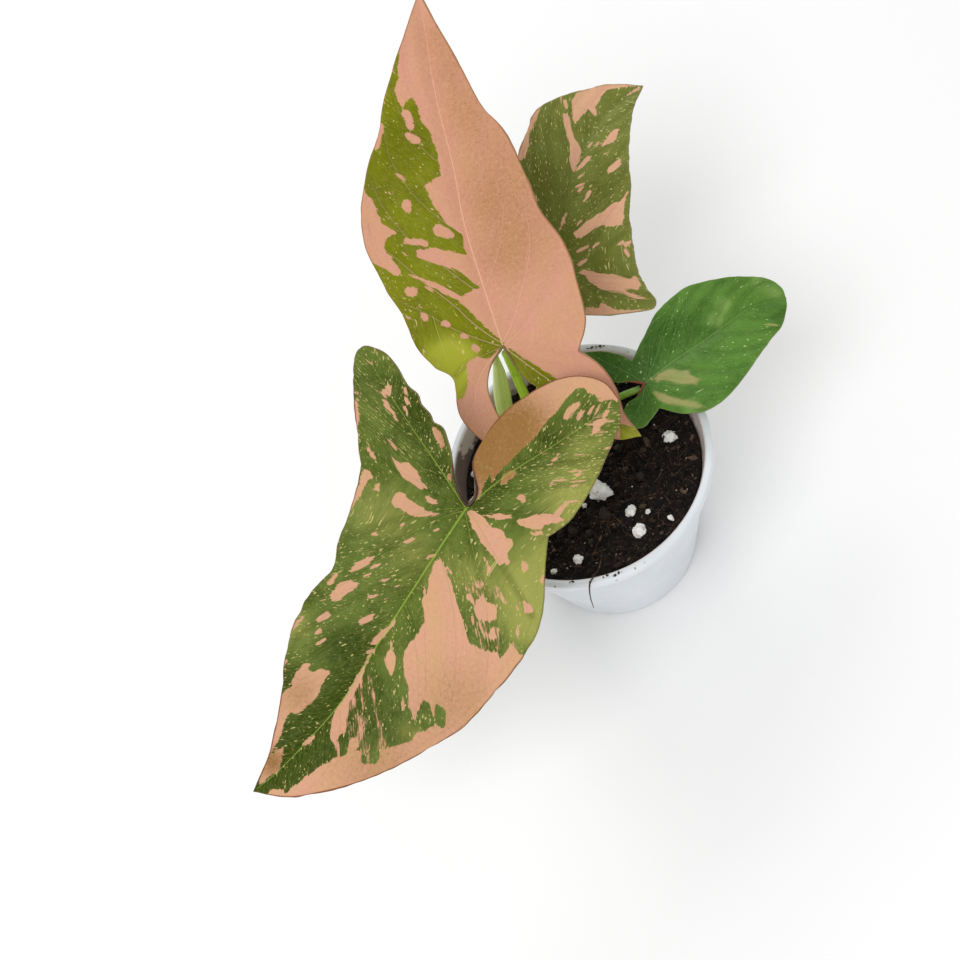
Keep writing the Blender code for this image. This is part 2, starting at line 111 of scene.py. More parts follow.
def srgb(red: float, green: float, blue: float) -> tuple[float, float, float, float]:
    """A colour seen on a screen, 0 to 255, as the linear values that Blender's sockets take."""
    def linear(value: float) -> float:
        part = value / 255
        return part / 12.92 if part <= 0.04045 else ((part + 0.055) / 1.055) ** 2.4
    return (linear(red), linear(green), linear(blue), 1.0)


# Shader maths.


# Numbers of the sockets whose names Blender's nodes use more than once.
OBJECT_OUTPUT = 3
VECTOR_OUTPUT = 1
VALUE_OUTPUT = 2
COLOUR_OUTPUT = 1
MIX_FIRST = 6
MIX_SECOND = 7
MIX_OUTPUT = 2

# How alike the flecks of one layer are in size, and how soft their edges are.
FLECK_EVENNESS = 0.4
FLECK_SOFTNESS = 0.08


class Socket:
    """A shader value that Python's operators combine through Math nodes."""

    def __init__(self, sheet: ShaderSheet, source: bpy.types.NodeSocket) -> None:
        """Wrap one output socket of a material's node tree."""
        self.sheet = sheet
        self.source = source

    def __add__(self, other: Value) -> Socket:
        """This value plus another."""
        return self.sheet.maths("ADD", self, other)

    __radd__ = __add__

    def __sub__(self, other: Value) -> Socket:
        """This value less another."""
        return self.sheet.maths("SUBTRACT", self, other)

    def __rsub__(self, other: Value) -> Socket:
        """A number less this value."""
        return self.sheet.maths("SUBTRACT", other, self)

    def __mul__(self, other: Value) -> Socket:
        """This value times another."""
        return self.sheet.maths("MULTIPLY", self, other)

    __rmul__ = __mul__

    def __pow__(self, other: Value) -> Socket:
        """This value to a power."""
        return self.sheet.maths("POWER", self, other)

    def above(self, low: Value, high: Value) -> Socket:
        """A soft step: 0 below low, 1 above high."""
        settings = {"interpolation_type": "SMOOTHSTEP"}
        return self.sheet.node("ShaderNodeMapRange", settings, {0: self, 1: low, 2: high})

    def below(self, low: Value, high: Value) -> Socket:
        """A soft step: 1 below low, 0 above high."""
        return 1.0 - self.above(low, high)

    def most(self, other: Value) -> Socket:
        """The larger of two values."""
        return self.sheet.maths("MAXIMUM", self, other)


Value = Socket | float


class ShaderSheet:
    """The node tree of one material, with short ways to add its nodes."""

    def __init__(self, name: str) -> None:
        """Start a material with a Principled shader."""
        self.material = bpy.data.materials.new(name)
        self.material.use_nodes = True
        self.tree = self.material.node_tree
        self.shader = self.tree.nodes["Principled BSDF"]

    def feed(self, socket: bpy.types.NodeSocket, value: object) -> None:
        """Link or set one input socket."""
        if isinstance(value, Socket):
            self.tree.links.new(value.source, socket)
        else:
            socket.default_value = value

    def node(self, kind: str, settings: dict | None = None, inputs: dict | None = None,
             output: int = 0) -> Socket:
        """Add one node of any kind.

        Args:
            kind: the node's type name.
            settings: properties set first.
            inputs: values or links, by the input's name or number.
            output: which output is wanted.

        Returns:
            The wanted output.
        """
        made = self.tree.nodes.new(kind)
        for key, value in (settings or {}).items():
            setattr(made, key, value)
        for key, value in (inputs or {}).items():
            self.feed(made.inputs[key], value)
        return Socket(self, made.outputs[output])

    def maths(self, operation: str, first: Value, second: Value) -> Socket:
        """One Math node."""
        return self.node("ShaderNodeMath", {"operation": operation}, {0: first, 1: second})

    def mix(self, factor: Value, first: object, second: object) -> Socket:
        """Blend two colours: 0 gives the first and 1 the second."""
        inputs = {0: factor, MIX_FIRST: first, MIX_SECOND: second}
        return self.node("ShaderNodeMix", {"data_type": "RGBA"}, inputs, MIX_OUTPUT)

    def attribute(self, name: str, vector: bool = False) -> Socket:
        """A value or a vector stored on the mesh."""
        output = VECTOR_OUTPUT if vector else VALUE_OUTPUT
        return self.node("ShaderNodeAttribute", {"attribute_name": name}, None, output)

    def place(self) -> Socket:
        """The point's own coordinates, in millimetres."""
        metres = self.node("ShaderNodeTexCoord", None, None, OBJECT_OUTPUT)
        return self.stretch(metres, (1 / MM,) * 3)

    def stretch(self, vector: Socket, scale: tuple, shift: tuple = (0.0, 0.0, 0.0)) -> Socket:
        """Scale a vector along each axis, then move it."""
        return self.node("ShaderNodeMapping", None, {0: vector, 1: shift, 3: scale})

    def split(self, vector: Socket, axis: int) -> Socket:
        """One part of a vector."""
        return self.node("ShaderNodeSeparateXYZ", None, {0: vector}, axis)

    def noise(self, vector: Socket, scale: float, detail: float = 2.0,
              roughness: float = 0.5) -> Socket:
        """Cloudy noise, centred on zero and mostly within a quarter of it."""
        inputs = {"Vector": vector, "Scale": scale, "Detail": detail, "Roughness": roughness}
        return self.node("ShaderNodeTexNoise", None, inputs) - 0.5

    def flecks(self, vector: Socket, scale: float, share: Value, size: float) -> Socket:
        """Scattered spots: the share of cells that hold one, and their size as a part of a cell."""
        inputs = {"Vector": vector, "Scale": scale}
        away = self.node("ShaderNodeTexVoronoi", None, inputs)
        chance = self.split(self.node("ShaderNodeTexVoronoi", None, inputs, COLOUR_OUTPUT), 0)
        chosen = self.node("ShaderNodeMapRange", None, {0: chance, 1: 1.0 - share, 2: 1.0})
        return (chosen**FLECK_EVENNESS * size - away).above(0.0, FLECK_SOFTNESS)

    def jiggle(self, vector: Socket, scale: float, amount: float) -> Socket:
        """Push a vector about by cloudy noise, so that what follows it turns uneven."""
        inputs = {"Vector": vector, "Scale": scale}
        cloud = self.node("ShaderNodeTexNoise", None, inputs, COLOUR_OUTPUT)
        settings = {"operation": "MULTIPLY_ADD"}
        return self.node("ShaderNodeVectorMath", settings,
                         {0: cloud, 1: (amount,) * 3, 2: vector})

    def net(self, vector: Socket, scale: float, width: float) -> Socket:
        """A net of thin lines around cells, 1 on the lines."""
        inputs = {"Vector": vector, "Scale": scale}
        edge = self.node("ShaderNodeTexVoronoi", {"feature": "DISTANCE_TO_EDGE"}, inputs)
        return edge.below(0.0, width)

    def finish(self, colour: object, roughness: Value, height: Socket | None = None,
               depth: float = 0.1 * MM, **fixed: float) -> bpy.types.Material:
        """Connect the shader.

        Args:
            colour: the surface colour.
            roughness: its roughness.
            height: relief from 0 to 1, if any.
            depth: how deep a relief of 1 is, in metres.
            fixed: other sockets' plain values, with spaces written as underscores.

        Returns:
            The finished material.
        """
        self.feed(self.shader.inputs["Base Color"], colour)
        self.feed(self.shader.inputs["Roughness"], roughness)
        for key, value in fixed.items():
            self.shader.inputs[key.replace("_", " ")].default_value = value
        if height is not None:
            inputs = {"Height": height, "Distance": depth, "Strength": 1.0}
            self.feed(self.shader.inputs["Normal"], self.node("ShaderNodeBump", None, inputs))
        return self.material


# Finishes.


@dataclass(frozen=True)
class LeafFinish:
    """The colours of one blade, all as seen on a screen."""

    name: str
    green: tuple
    deep_green: tuple
    lime_and_sheen: tuple
    pale: tuple
    rosy: tuple
    tan_and_painted_shade: tuple
    fleck: tuple
    vein: tuple
    margin: tuple
    fleck_share: float = 0.36
    patch_share: float = 0.3
    fleck_size: float = 0.34
    blur: float = 0.13
    gloss: float = 0.2
    seed: float = 0.0
    dark_grain: tuple = (126, 84, 50)
    light_grain: tuple = (240, 200, 160)
    dots: tuple = (62, 42, 26)
    underside: tuple = (158, 166, 122)

    def greens(self, sheet: ShaderSheet, flat: Socket, flow: Socket) -> Socket:
        """The green part: light and dark greens, and lime in soft spots, which partly paint a
        sheen.
        """
        cloud = sheet.noise(flat, 0.09, 4.0, 0.65).above(-0.3, 0.12)
        colour = sheet.mix(cloud, srgb(*self.deep_green), srgb(*self.green))
        mood = sheet.attribute("mood", vector=True)
        streaky = sheet.noise(flow, 0.5, 4.0, 0.7)
        # The lime mood is partly the blade's own lime and partly painted sheen.
        lime_and_sheen_mask = (sheet.split(mood, Mood.LIME_AND_SHEEN.value) + streaky * 0.7).above(0.1, 0.9)
        colour = sheet.mix(lime_and_sheen_mask, colour, srgb(*self.lime_and_sheen))
        deep = (sheet.split(mood, Mood.DEEP.value) + streaky * 0.6).above(0.1, 0.95)
        colour = sheet.mix(deep * 0.95, colour, srgb(*self.deep_green))
        near_vein = sheet.attribute("vein").below(0.1, 1.5)
        colour = sheet.mix(near_vein * 0.35, colour, srgb(*self.deep_green))
        shimmer = sheet.noise(flow, 1.3, 4.0, 0.75).above(-0.2, 0.2)
        return sheet.mix(shimmer * 0.2, colour, srgb(*self.lime_and_sheen))

    def pales(self, sheet: ShaderSheet, flat: Socket) -> Socket:
        """The pink part: rosy by the veins, tan in places with painted shade where the blade tilts
        from the light, with a fine dark grain.
        """
        cloud = sheet.noise(flat, 0.12, 2.0).above(-0.2, 0.2)
        near_vein = sheet.attribute("vein").below(0.3, 5.0)
        colour = sheet.mix(cloud * 0.55 + near_vein * 0.45, srgb(*self.pale), srgb(*self.rosy))
        # The dusk mood tints pink towards tan: partly the blade's own colour, partly painted shade
        # where the blade tilts away from the light.
        tan_shade_mask = sheet.split(sheet.attribute("mood", vector=True), Mood.TAN_AND_SHADE.value)
        grain = sheet.noise(flat, 1.1, 4.0, 0.85)
        colour = sheet.mix((tan_shade_mask + grain * 1.3 * tan_shade_mask).above(0.0, 1.1), colour,
                           srgb(*self.tan_and_painted_shade))
        colour = sheet.mix(grain.above(0.02, 0.24) * (0.24 + tan_shade_mask * 0.3), colour,
                           srgb(*self.dark_grain))
        colour = sheet.mix(grain.below(-0.24, -0.03) * 0.25, colour, srgb(*self.light_grain))
        dots = sheet.flecks(flat, 0.21, 0.4, 0.05)
        return sheet.mix(dots * 0.8, colour, srgb(*self.dots))

    def pattern(self, sheet: ShaderSheet, flow: Socket) -> Socket:
        """Where the blade is pink: the painted patches with edges frayed along the veins."""
        frayed = sheet.noise(flow, 0.42, 4.0, 0.62) * 1.6 + sheet.noise(flow, 1.7, 2.0, 0.6)
        return (sheet.attribute("pink") + frayed).above(-self.blur, self.blur)

    def scatter(self, sheet: ShaderSheet, flat: Socket, flow: Socket, colour: Socket) -> Socket:
        """The green part's small cream flecks and ragged pale patches, thick in places."""
        crowd = sheet.attribute("crowd")
        near_edge = sheet.attribute("edge").below(1.0, 12.0)
        share = sheet.noise(flat, 0.13, 3.0, 0.6) * 1.3 + near_edge * 0.12 + crowd
        ragged = sheet.jiggle(flow, 1.1, 1.3)
        broad = sheet.flecks(ragged, 0.5, (share * 0.5 + self.patch_share).most(0.02), 0.36)
        colour = sheet.mix(broad * 0.9, colour, self.pales(sheet, flat))
        share = (share + self.fleck_share).most(0.02)
        uneven = sheet.jiggle(sheet.stretch(flow, (1.35, 1, 1)), 1.4, 1.1)
        colour = sheet.mix(sheet.flecks(uneven, 1.3, share, self.fleck_size) * 0.85, colour,
                           srgb(*self.fleck))
        dust = sheet.flecks(sheet.stretch(uneven, (1, 1, 1), (5, 3, 0)), 2.2, share * 0.8 + 0.08,
                            self.fleck_size)
        return sheet.mix(dust * 0.45, colour, srgb(*self.fleck))

    def material(self, underside: bool = False) -> bpy.types.Material:
        """The blade's material.

        Args:
            underside: whether this is the duller lower face.

        Returns:
            The material.
        """
        sheet = ShaderSheet(self.name + ("_underside" if underside else "_upper"))
        shift = (self.seed, self.seed * 0.7, 0.0)
        flat = sheet.stretch(sheet.attribute("flat", vector=True), (1, 1, 1), shift)
        flow = sheet.stretch(sheet.attribute("flow", vector=True), (0.6, 1, 1), shift)
        pink = self.pattern(sheet, sheet.stretch(flow, (0.5, 1, 1)))
        green = self.scatter(sheet, flat, flow, self.greens(sheet, flat, flow))
        colour = sheet.mix(pink, green, self.pales(sheet, flat))
        net = sheet.net(flow, 0.5, 0.05)
        colour = sheet.mix(net * (0.04 + pink * 0.06), colour, srgb(*self.vein))
        rim = sheet.attribute("edge").below(0.1, 0.38) * (0.3 + pink * 0.6)
        colour = sheet.mix(rim, colour, srgb(*self.margin))
        colour = sheet.mix(sheet.attribute("ridge"), colour, srgb(*self.vein))
        roughness = sheet.noise(flat, 0.5, 3.0) * 0.12 + 0.4
        if underside:
            colour = sheet.mix(0.42, colour, srgb(*self.underside))
            roughness = roughness + 0.14
        relief = sheet.noise(flat, 1.3, 4.0, 0.75) * 0.6 + 0.5 - net * 0.3
        return sheet.finish(colour, roughness, relief, 0.08 * MM, Specular_IOR_Level=self.gloss)


@dataclass(frozen=True)
class StalkFinish:
    """A smooth juicy stalk with fine lengthwise streaks."""

    name: str
    body: tuple
    light: tuple
    dark: tuple
    collar: tuple

    def material(self) -> bpy.types.Material:
        """The stalk's material, which reads the stored place along and around it."""
        sheet = ShaderSheet(self.name)
        grow = sheet.attribute("grow", vector=True)
        streaks = sheet.noise(sheet.stretch(grow, (1.6, 1.6, 0.06)), 1.0, 3.0, 0.6)
        colour = sheet.mix(streaks.above(-0.14, 0.16), srgb(*self.body), srgb(*self.light))
        blotch = sheet.noise(grow, 0.25, 3.0, 0.6)
        colour = sheet.mix(blotch.above(0.05, 0.3) * 0.6, colour, srgb(*self.dark))
        dots = sheet.flecks(sheet.stretch(grow, (1, 1, 0.5)), 1.3, 0.18, 0.35)
        colour = sheet.mix(dots * 0.4, colour, srgb(*self.dark))
        ends = sheet.attribute("ends").above(0.0, 1.0)
        colour = sheet.mix(ends, colour, srgb(*self.collar))
        return sheet.finish(colour, 0.36 + blotch * 0.15, streaks + 0.5, 0.08 * MM,
                            Subsurface_Weight=0.12, Subsurface_Scale=0.002)


@dataclass(frozen=True)
class PotFinish:
    """White moulded plastic, a little soiled on and inside the lip, with a warm tint inside that
    paints light shining through the thin wall.
    """

    white: tuple = (226, 231, 236)
    shade: tuple = (204, 210, 220)
    inside_painted_glow: tuple = (226, 204, 200)
    dirt: tuple = (88, 62, 58)

    def material(self) -> bpy.types.Material:
        """The pot's material."""
        sheet = ShaderSheet("white_pot_plastic")
        place = sheet.place()
        cloud = sheet.noise(place, 0.05, 3.0, 0.6).above(-0.2, 0.2)
        colour = sheet.mix(cloud * 0.5, srgb(*self.white), srgb(*self.shade))
        x, y, z = (sheet.split(place, axis) for axis in range(3))
        radius = (x * x + y * y) ** 0.5
        wall = z * ((POT_RIM_RADIUS - LIP_WIDTH + POT_WALL - POT_BASE_RADIUS) / POT_HEIGHT)
        inside = (radius - wall - POT_BASE_RADIUS).below(-1.0, -0.4) * z.above(20, 21)
        # Inside, a warm tint paints the light that shines through the thin plastic.
        colour = sheet.mix(inside * 0.75, colour, srgb(*self.inside_painted_glow))
        smear = sheet.noise(place, 0.5, 5.0, 0.72)
        low = z.below(SOIL_TOP - 0.5, POT_HEIGHT - 1.6)
        # The inner wall also turns darker brown towards the pot's left side, where x falls below
        # -20 mm.
        left_darkening = x.below(-27, -20) * 0.48
        grime = (smear + low * 0.3 + left_darkening).above(0.12, 0.34) * inside
        colour = sheet.mix(grime * 0.85, colour, srgb(*self.dirt))
        specks = sheet.flecks(place, 0.75, 0.05, 0.36) * z.above(51, 52)
        colour = sheet.mix(specks * 0.55, colour, srgb(*self.dirt))
        scuffs = sheet.noise(sheet.stretch(place, (1, 1, 6)), 0.8, 4.0, 0.7)
        roughness = 0.33 + scuffs * 0.22 + grime * 0.4
        return sheet.finish(colour, roughness, scuffs + 0.5, 0.03 * MM, Coat_Weight=0.15,
                            Coat_Roughness=0.2, Subsurface_Weight=0.06, Subsurface_Scale=0.002)


@dataclass(frozen=True)
class EarthFinish:
    """Dark potting mix, or the bark and fibre bits in it."""

    name: str
    dark: tuple
    light: tuple
    grit: tuple

    def material(self) -> bpy.types.Material:
        """The material of soil or of one kind of bit in it."""
        sheet = ShaderSheet(self.name)
        place = sheet.place()
        cloud = sheet.noise(place, 0.7, 5.0, 0.75)
        colour = sheet.mix(cloud.above(-0.06, 0.24), srgb(*self.dark), srgb(*self.light))
        grit = sheet.flecks(place, 2.2, 0.16, 0.5)
        colour = sheet.mix(grit * 0.7, colour, srgb(*self.grit))
        colour = sheet.mix(sheet.attribute("tone") * 0.8, colour, srgb(*self.grit))
        relief = sheet.noise(place, 2.4, 5.0, 0.75) + 0.5
        return sheet.finish(colour, 0.86 + cloud * 0.2, relief, 0.5 * MM,
                            Specular_IOR_Level=0.3)


@dataclass(frozen=True)
class PerliteFinish:
    """White foamed grains, dusted with soil low down, with painted shade in their pores."""

    white: tuple = (252, 251, 247)
    pore_shade: tuple = (172, 166, 156)
    soiled: tuple = (38, 28, 23)

    def material(self) -> bpy.types.Material:
        """The grains' material."""
        sheet = ShaderSheet("white_perlite")
        place = sheet.place()
        pores = sheet.noise(place, 1.5, 4.0, 0.7)
        # The pores are painted grey: shade in the hollows.
        colour = sheet.mix(pores.below(-0.3, -0.08), srgb(*self.white), srgb(*self.pore_shade))
        dust = sheet.noise(place, 0.9, 4.0, 0.7) + sheet.attribute("bury") * 0.7
        colour = sheet.mix(dust.above(0.14, 0.4), colour, srgb(*self.soiled))
        return sheet.finish(colour, 0.9, pores + 0.5, 0.35 * MM)


# Leaf plans.


@dataclass(frozen=True)
class Half:
    """One half of a blade: its outline in flat millimetres and how it bends, in degrees."""

    lobe_vein: tuple
    sinus: tuple
    lobe_margin: tuple
    margin: tuple
    lobe_droop: float
    fold: float = 8
    curl: float = 12
    sinus_lift: float = 0.0
    wave: float = 0.8
    wave_count: float = 3.0
    wave_phase: float = 0.0


class Mood(Enum):
    """What a soft shade changes: three tints, and how thickly the flecks crowd. The tan tint also
    paints shade, and the lime tint also paints a sheen.
    """

    TAN_AND_SHADE = 0
    LIME_AND_SHEEN = 1
    DEEP = 2
    CROWD = 3


@dataclass(frozen=True)
class Shade:
    """A soft spot of one mood, in flat millimetres."""

    mood: Mood
    spot: tuple
    reach: float
    amount: float


@dataclass(frozen=True)
class Patch:
    """A patch outlined in flat millimetres: pink, green again inside pink, or finely mottled."""

    outline: tuple
    green: bool = False
    mottled: bool = False


@dataclass(frozen=True)
class Streak:
    """A pink streak between two points, with its half width at each, in flat millimetres."""

    start: tuple
    end: tuple
    wide: float
    narrow: float


def spots_of(mood: Mood, *spots: tuple) -> list[Shade]:
    """Soft spots of one mood, each given as (x, y, reach, amount)."""
    return [Shade(mood, (x, y), reach, amount) for x, y, reach, amount in spots]


def streaks(*lines: tuple) -> list[Streak]:
    """Streaks, each given as the x and y of both its ends, then its two half widths."""
    return [Streak((ax, ay), (bx, by), wide, narrow) for ax, ay, bx, by, wide, narrow in lines]


@dataclass(frozen=True)
class Leaf:
    """A blade set on its stalk, with angles in degrees and lengths in millimetres."""

    name: str
    junction: tuple
    heading: float
    rise: float
    roll: float
    droop: float
    length: float
    midrib: tuple
    left: Half
    right: Half
    stalk: tuple
    stalk_radii: tuple
    finish: LeafFinish
    marks: tuple = ()
    shades: tuple = ()
    pink: bool = False
    vein_tone: float = 0.5
    side_tone: float = 1.0
    midrib_width: float = 0.2
    unevenness: float = 0.45
    edge_colour: tuple = (104, 62, 34)
    rows: int = 15
    lobe_rows: int = 6
    columns: int = 5
    lobe_columns: int = 3


PINK_MARKS = (
    Patch(((-9, 77), (-10.7, 72.5), (-11.6, 68), (-13, 65.7), (-11.7, 60.4), (-10.4, 62.6),
           (-8.9, 63), (-7.8, 60.5), (-7.8, 57), (-6.2, 53.7), (-5.4, 50), (-5.5, 43), (-10, 41.7),
           (-8.8, 36), (-6.7, 31.6), (-3.4, 28.5), (-3.8, 23.4), (-6, 24.4), (-10.3, 26.5),
           (-15.4, 27.4), (-15.5, 25.4), (-11.8, 23.2), (-6.8, 20.7), (-2.3, 15.1), (-7, 14.3),
           (-12.2, 18.6), (-18.8, 22.2), (-12.6, 17), (-8, 12.9), (-5.4, 9), (0.4, 0.8),
           (-3.9, -2.2), (-6.9, -1.2), (-9.8, -2.1), (-10, -4.1), (-10.5, -6), (-11.2, -8.4),
           (-12.7, -10.4), (-17, -10), (-22, -2), (-30, 20), (-32, 34), (-26, 52),
           (-16, 68)), green=True),
    Patch(((-24.8, 44.4), (-23.2, 41), (-22, 35), (-19.2, 32.4), (-22.3, 31.5), (-23, 28.6),
           (-20.2, 23.2), (-21.7, 22), (-24.3, 24.8), (-30, 29), (-31, 40))),
    *streaks(
        (-18.2, 58, -19.6, 53.5, 1.1, 0.8), (-11, 59.5, -10.3, 56.5, 1.2, 1.0),
        (-11.4, 54, -9.6, 52.5, 1.0, 0.9), (-15.1, 38.2, -15, 37.3, 1.2, 0.9),
        (-8.8, 30.7, -6.4, 28.8, 1.5, 1.0), (-17.3, 30, -12.8, 28.2, 0.8, 0.7),
        (-19.3, 18, -18.2, 17.7, 1.2, 1.1), (-17.1, 11.6, -17, 11, 0.8, 0.8),
        (-12.6, 8.6, -12, 8.2, 1.0, 0.8), (-8.8, 4.6, -8.2, 4.4, 0.8, 0.6),
    ),
    Patch(((1.2, -0.6), (4.6, -3.8), (8.3, -7.4), (12, -10.8), (11.5, -16), (6, -14),
           (1, -5)), green=True),
    Patch(((22.6, -31), (23.6, -24), (26.5, -25.6), (31, -26), (30, -31)), green=True),
)

PINK_SHADES = (
    # These dusk spots, right of the midrib, paint the shade beside its fold over that half's own
    # tan.
    *spots_of(Mood.TAN_AND_SHADE, (10, 42, 14, 0.55), (12, 24, 11, 0.45), (3.5, 56, 7, 0.4),
              (3, 34, 6, 0.25), (3, 20, 7, 0.35), (1.5, 67, 7, 0.5), (-0.5, 77, 6, 0.45)),
    *spots_of(Mood.LIME_AND_SHEEN, (-13, 0, 6, 0.8), (-12.5, -6, 6, 1.2), (-17, -3, 7, 0.6),
              (27, -28, 5, 0.9), (-14, 22, 7, 0.3)),
    *spots_of(Mood.DEEP, (-20, 46, 10, 0.4), (-9, 55, 10, 0.5), (6, -10, 5, 0.6)),
)

PINK_LEAF = Leaf(
    name="pink_leaf",
    junction=(-0.8, 18.5, 88.0),
    heading=64,
    rise=42,
    roll=-2,
    droop=24,
    length=88,
    midrib=((0, 0), (-1, 12), (-2.5, 30), (-2.3, 45), (-3.2, 62), (-3, 76), (-3, 89)),
    left=Half(
        lobe_vein=((-6.5, -27), (-9.5, -20), (-10, -12), (-6.5, -5), (0, 0)),
        sinus=((-6.5, -27), (-4.8, -20), (-5.8, -14), (-6, -9), (-4, -4), (0, 0)),
        lobe_margin=((-6.5, -27), (-11.5, -21), (-14.8, -14), (-14, -5.5), (-17.5, -1.5)),
        margin=((-17.5, -1.5), (-20.5, 4), (-22, 12), (-25, 20), (-27.8, 30), (-27, 38),
                (-23.5, 47), (-19, 56), (-16.5, 63), (-12, 71.5), (-7.5, 79.5), (-3, 89)),
        lobe_droop=8, wave=0.9, wave_count=3.5,
    ),
    right=Half(
        lobe_vein=((28, -28.5), (20, -21), (11, -12), (4, -4.5), (0, 0)),
        sinus=((28, -28.5), (21, -27.5), (13, -19.5), (7, -12.5), (3.2, -8), (0, 0)),
        lobe_margin=((28, -28.5), (25.5, -22), (24.8, -15), (22, -8.5), (18.2, -4.6)),
        margin=((18.2, -4.6), (21.5, 2), (21.5, 11), (20.3, 21), (16.5, 29.5), (15, 38),
                (12, 49), (7.5, 57), (5, 65), (2, 74), (-0.8, 82), (-3, 89)),
        lobe_droop=8, wave=0.5, wave_count=3.0, wave_phase=0.4,
    ),
    stalk=((-4.3, 11.0, 0.0), (-3.7, 12.7, 50.0), (-2.8, 15.2, 58.0), (-1.9, 17.0, 67.0),
           (-1.2, 18.0, 77.0), (-0.9, 17.8, 86.1)),
    stalk_radii=(2.0, 1.7, 1.4, 1.25, 1.2, 1.1),
    finish=LeafFinish(
        name="pink_leaf", green=(116, 120, 0), deep_green=(88, 92, 0), lime_and_sheen=(164, 168, 52),
        pale=(204, 154, 116), rosy=(208, 150, 128), tan_and_painted_shade=(172, 124, 80), fleck=(206, 190, 120),
        vein=(234, 186, 156), margin=(160, 108, 74), fleck_share=0.4, patch_share=0.08,
        fleck_size=0.3, gloss=0.05, seed=11,
    ),
    marks=PINK_MARKS,
    shades=PINK_SHADES,
    pink=True,
    vein_tone=0.6,
    unevenness=0.25,
    edge_colour=(112, 92, 30),
)

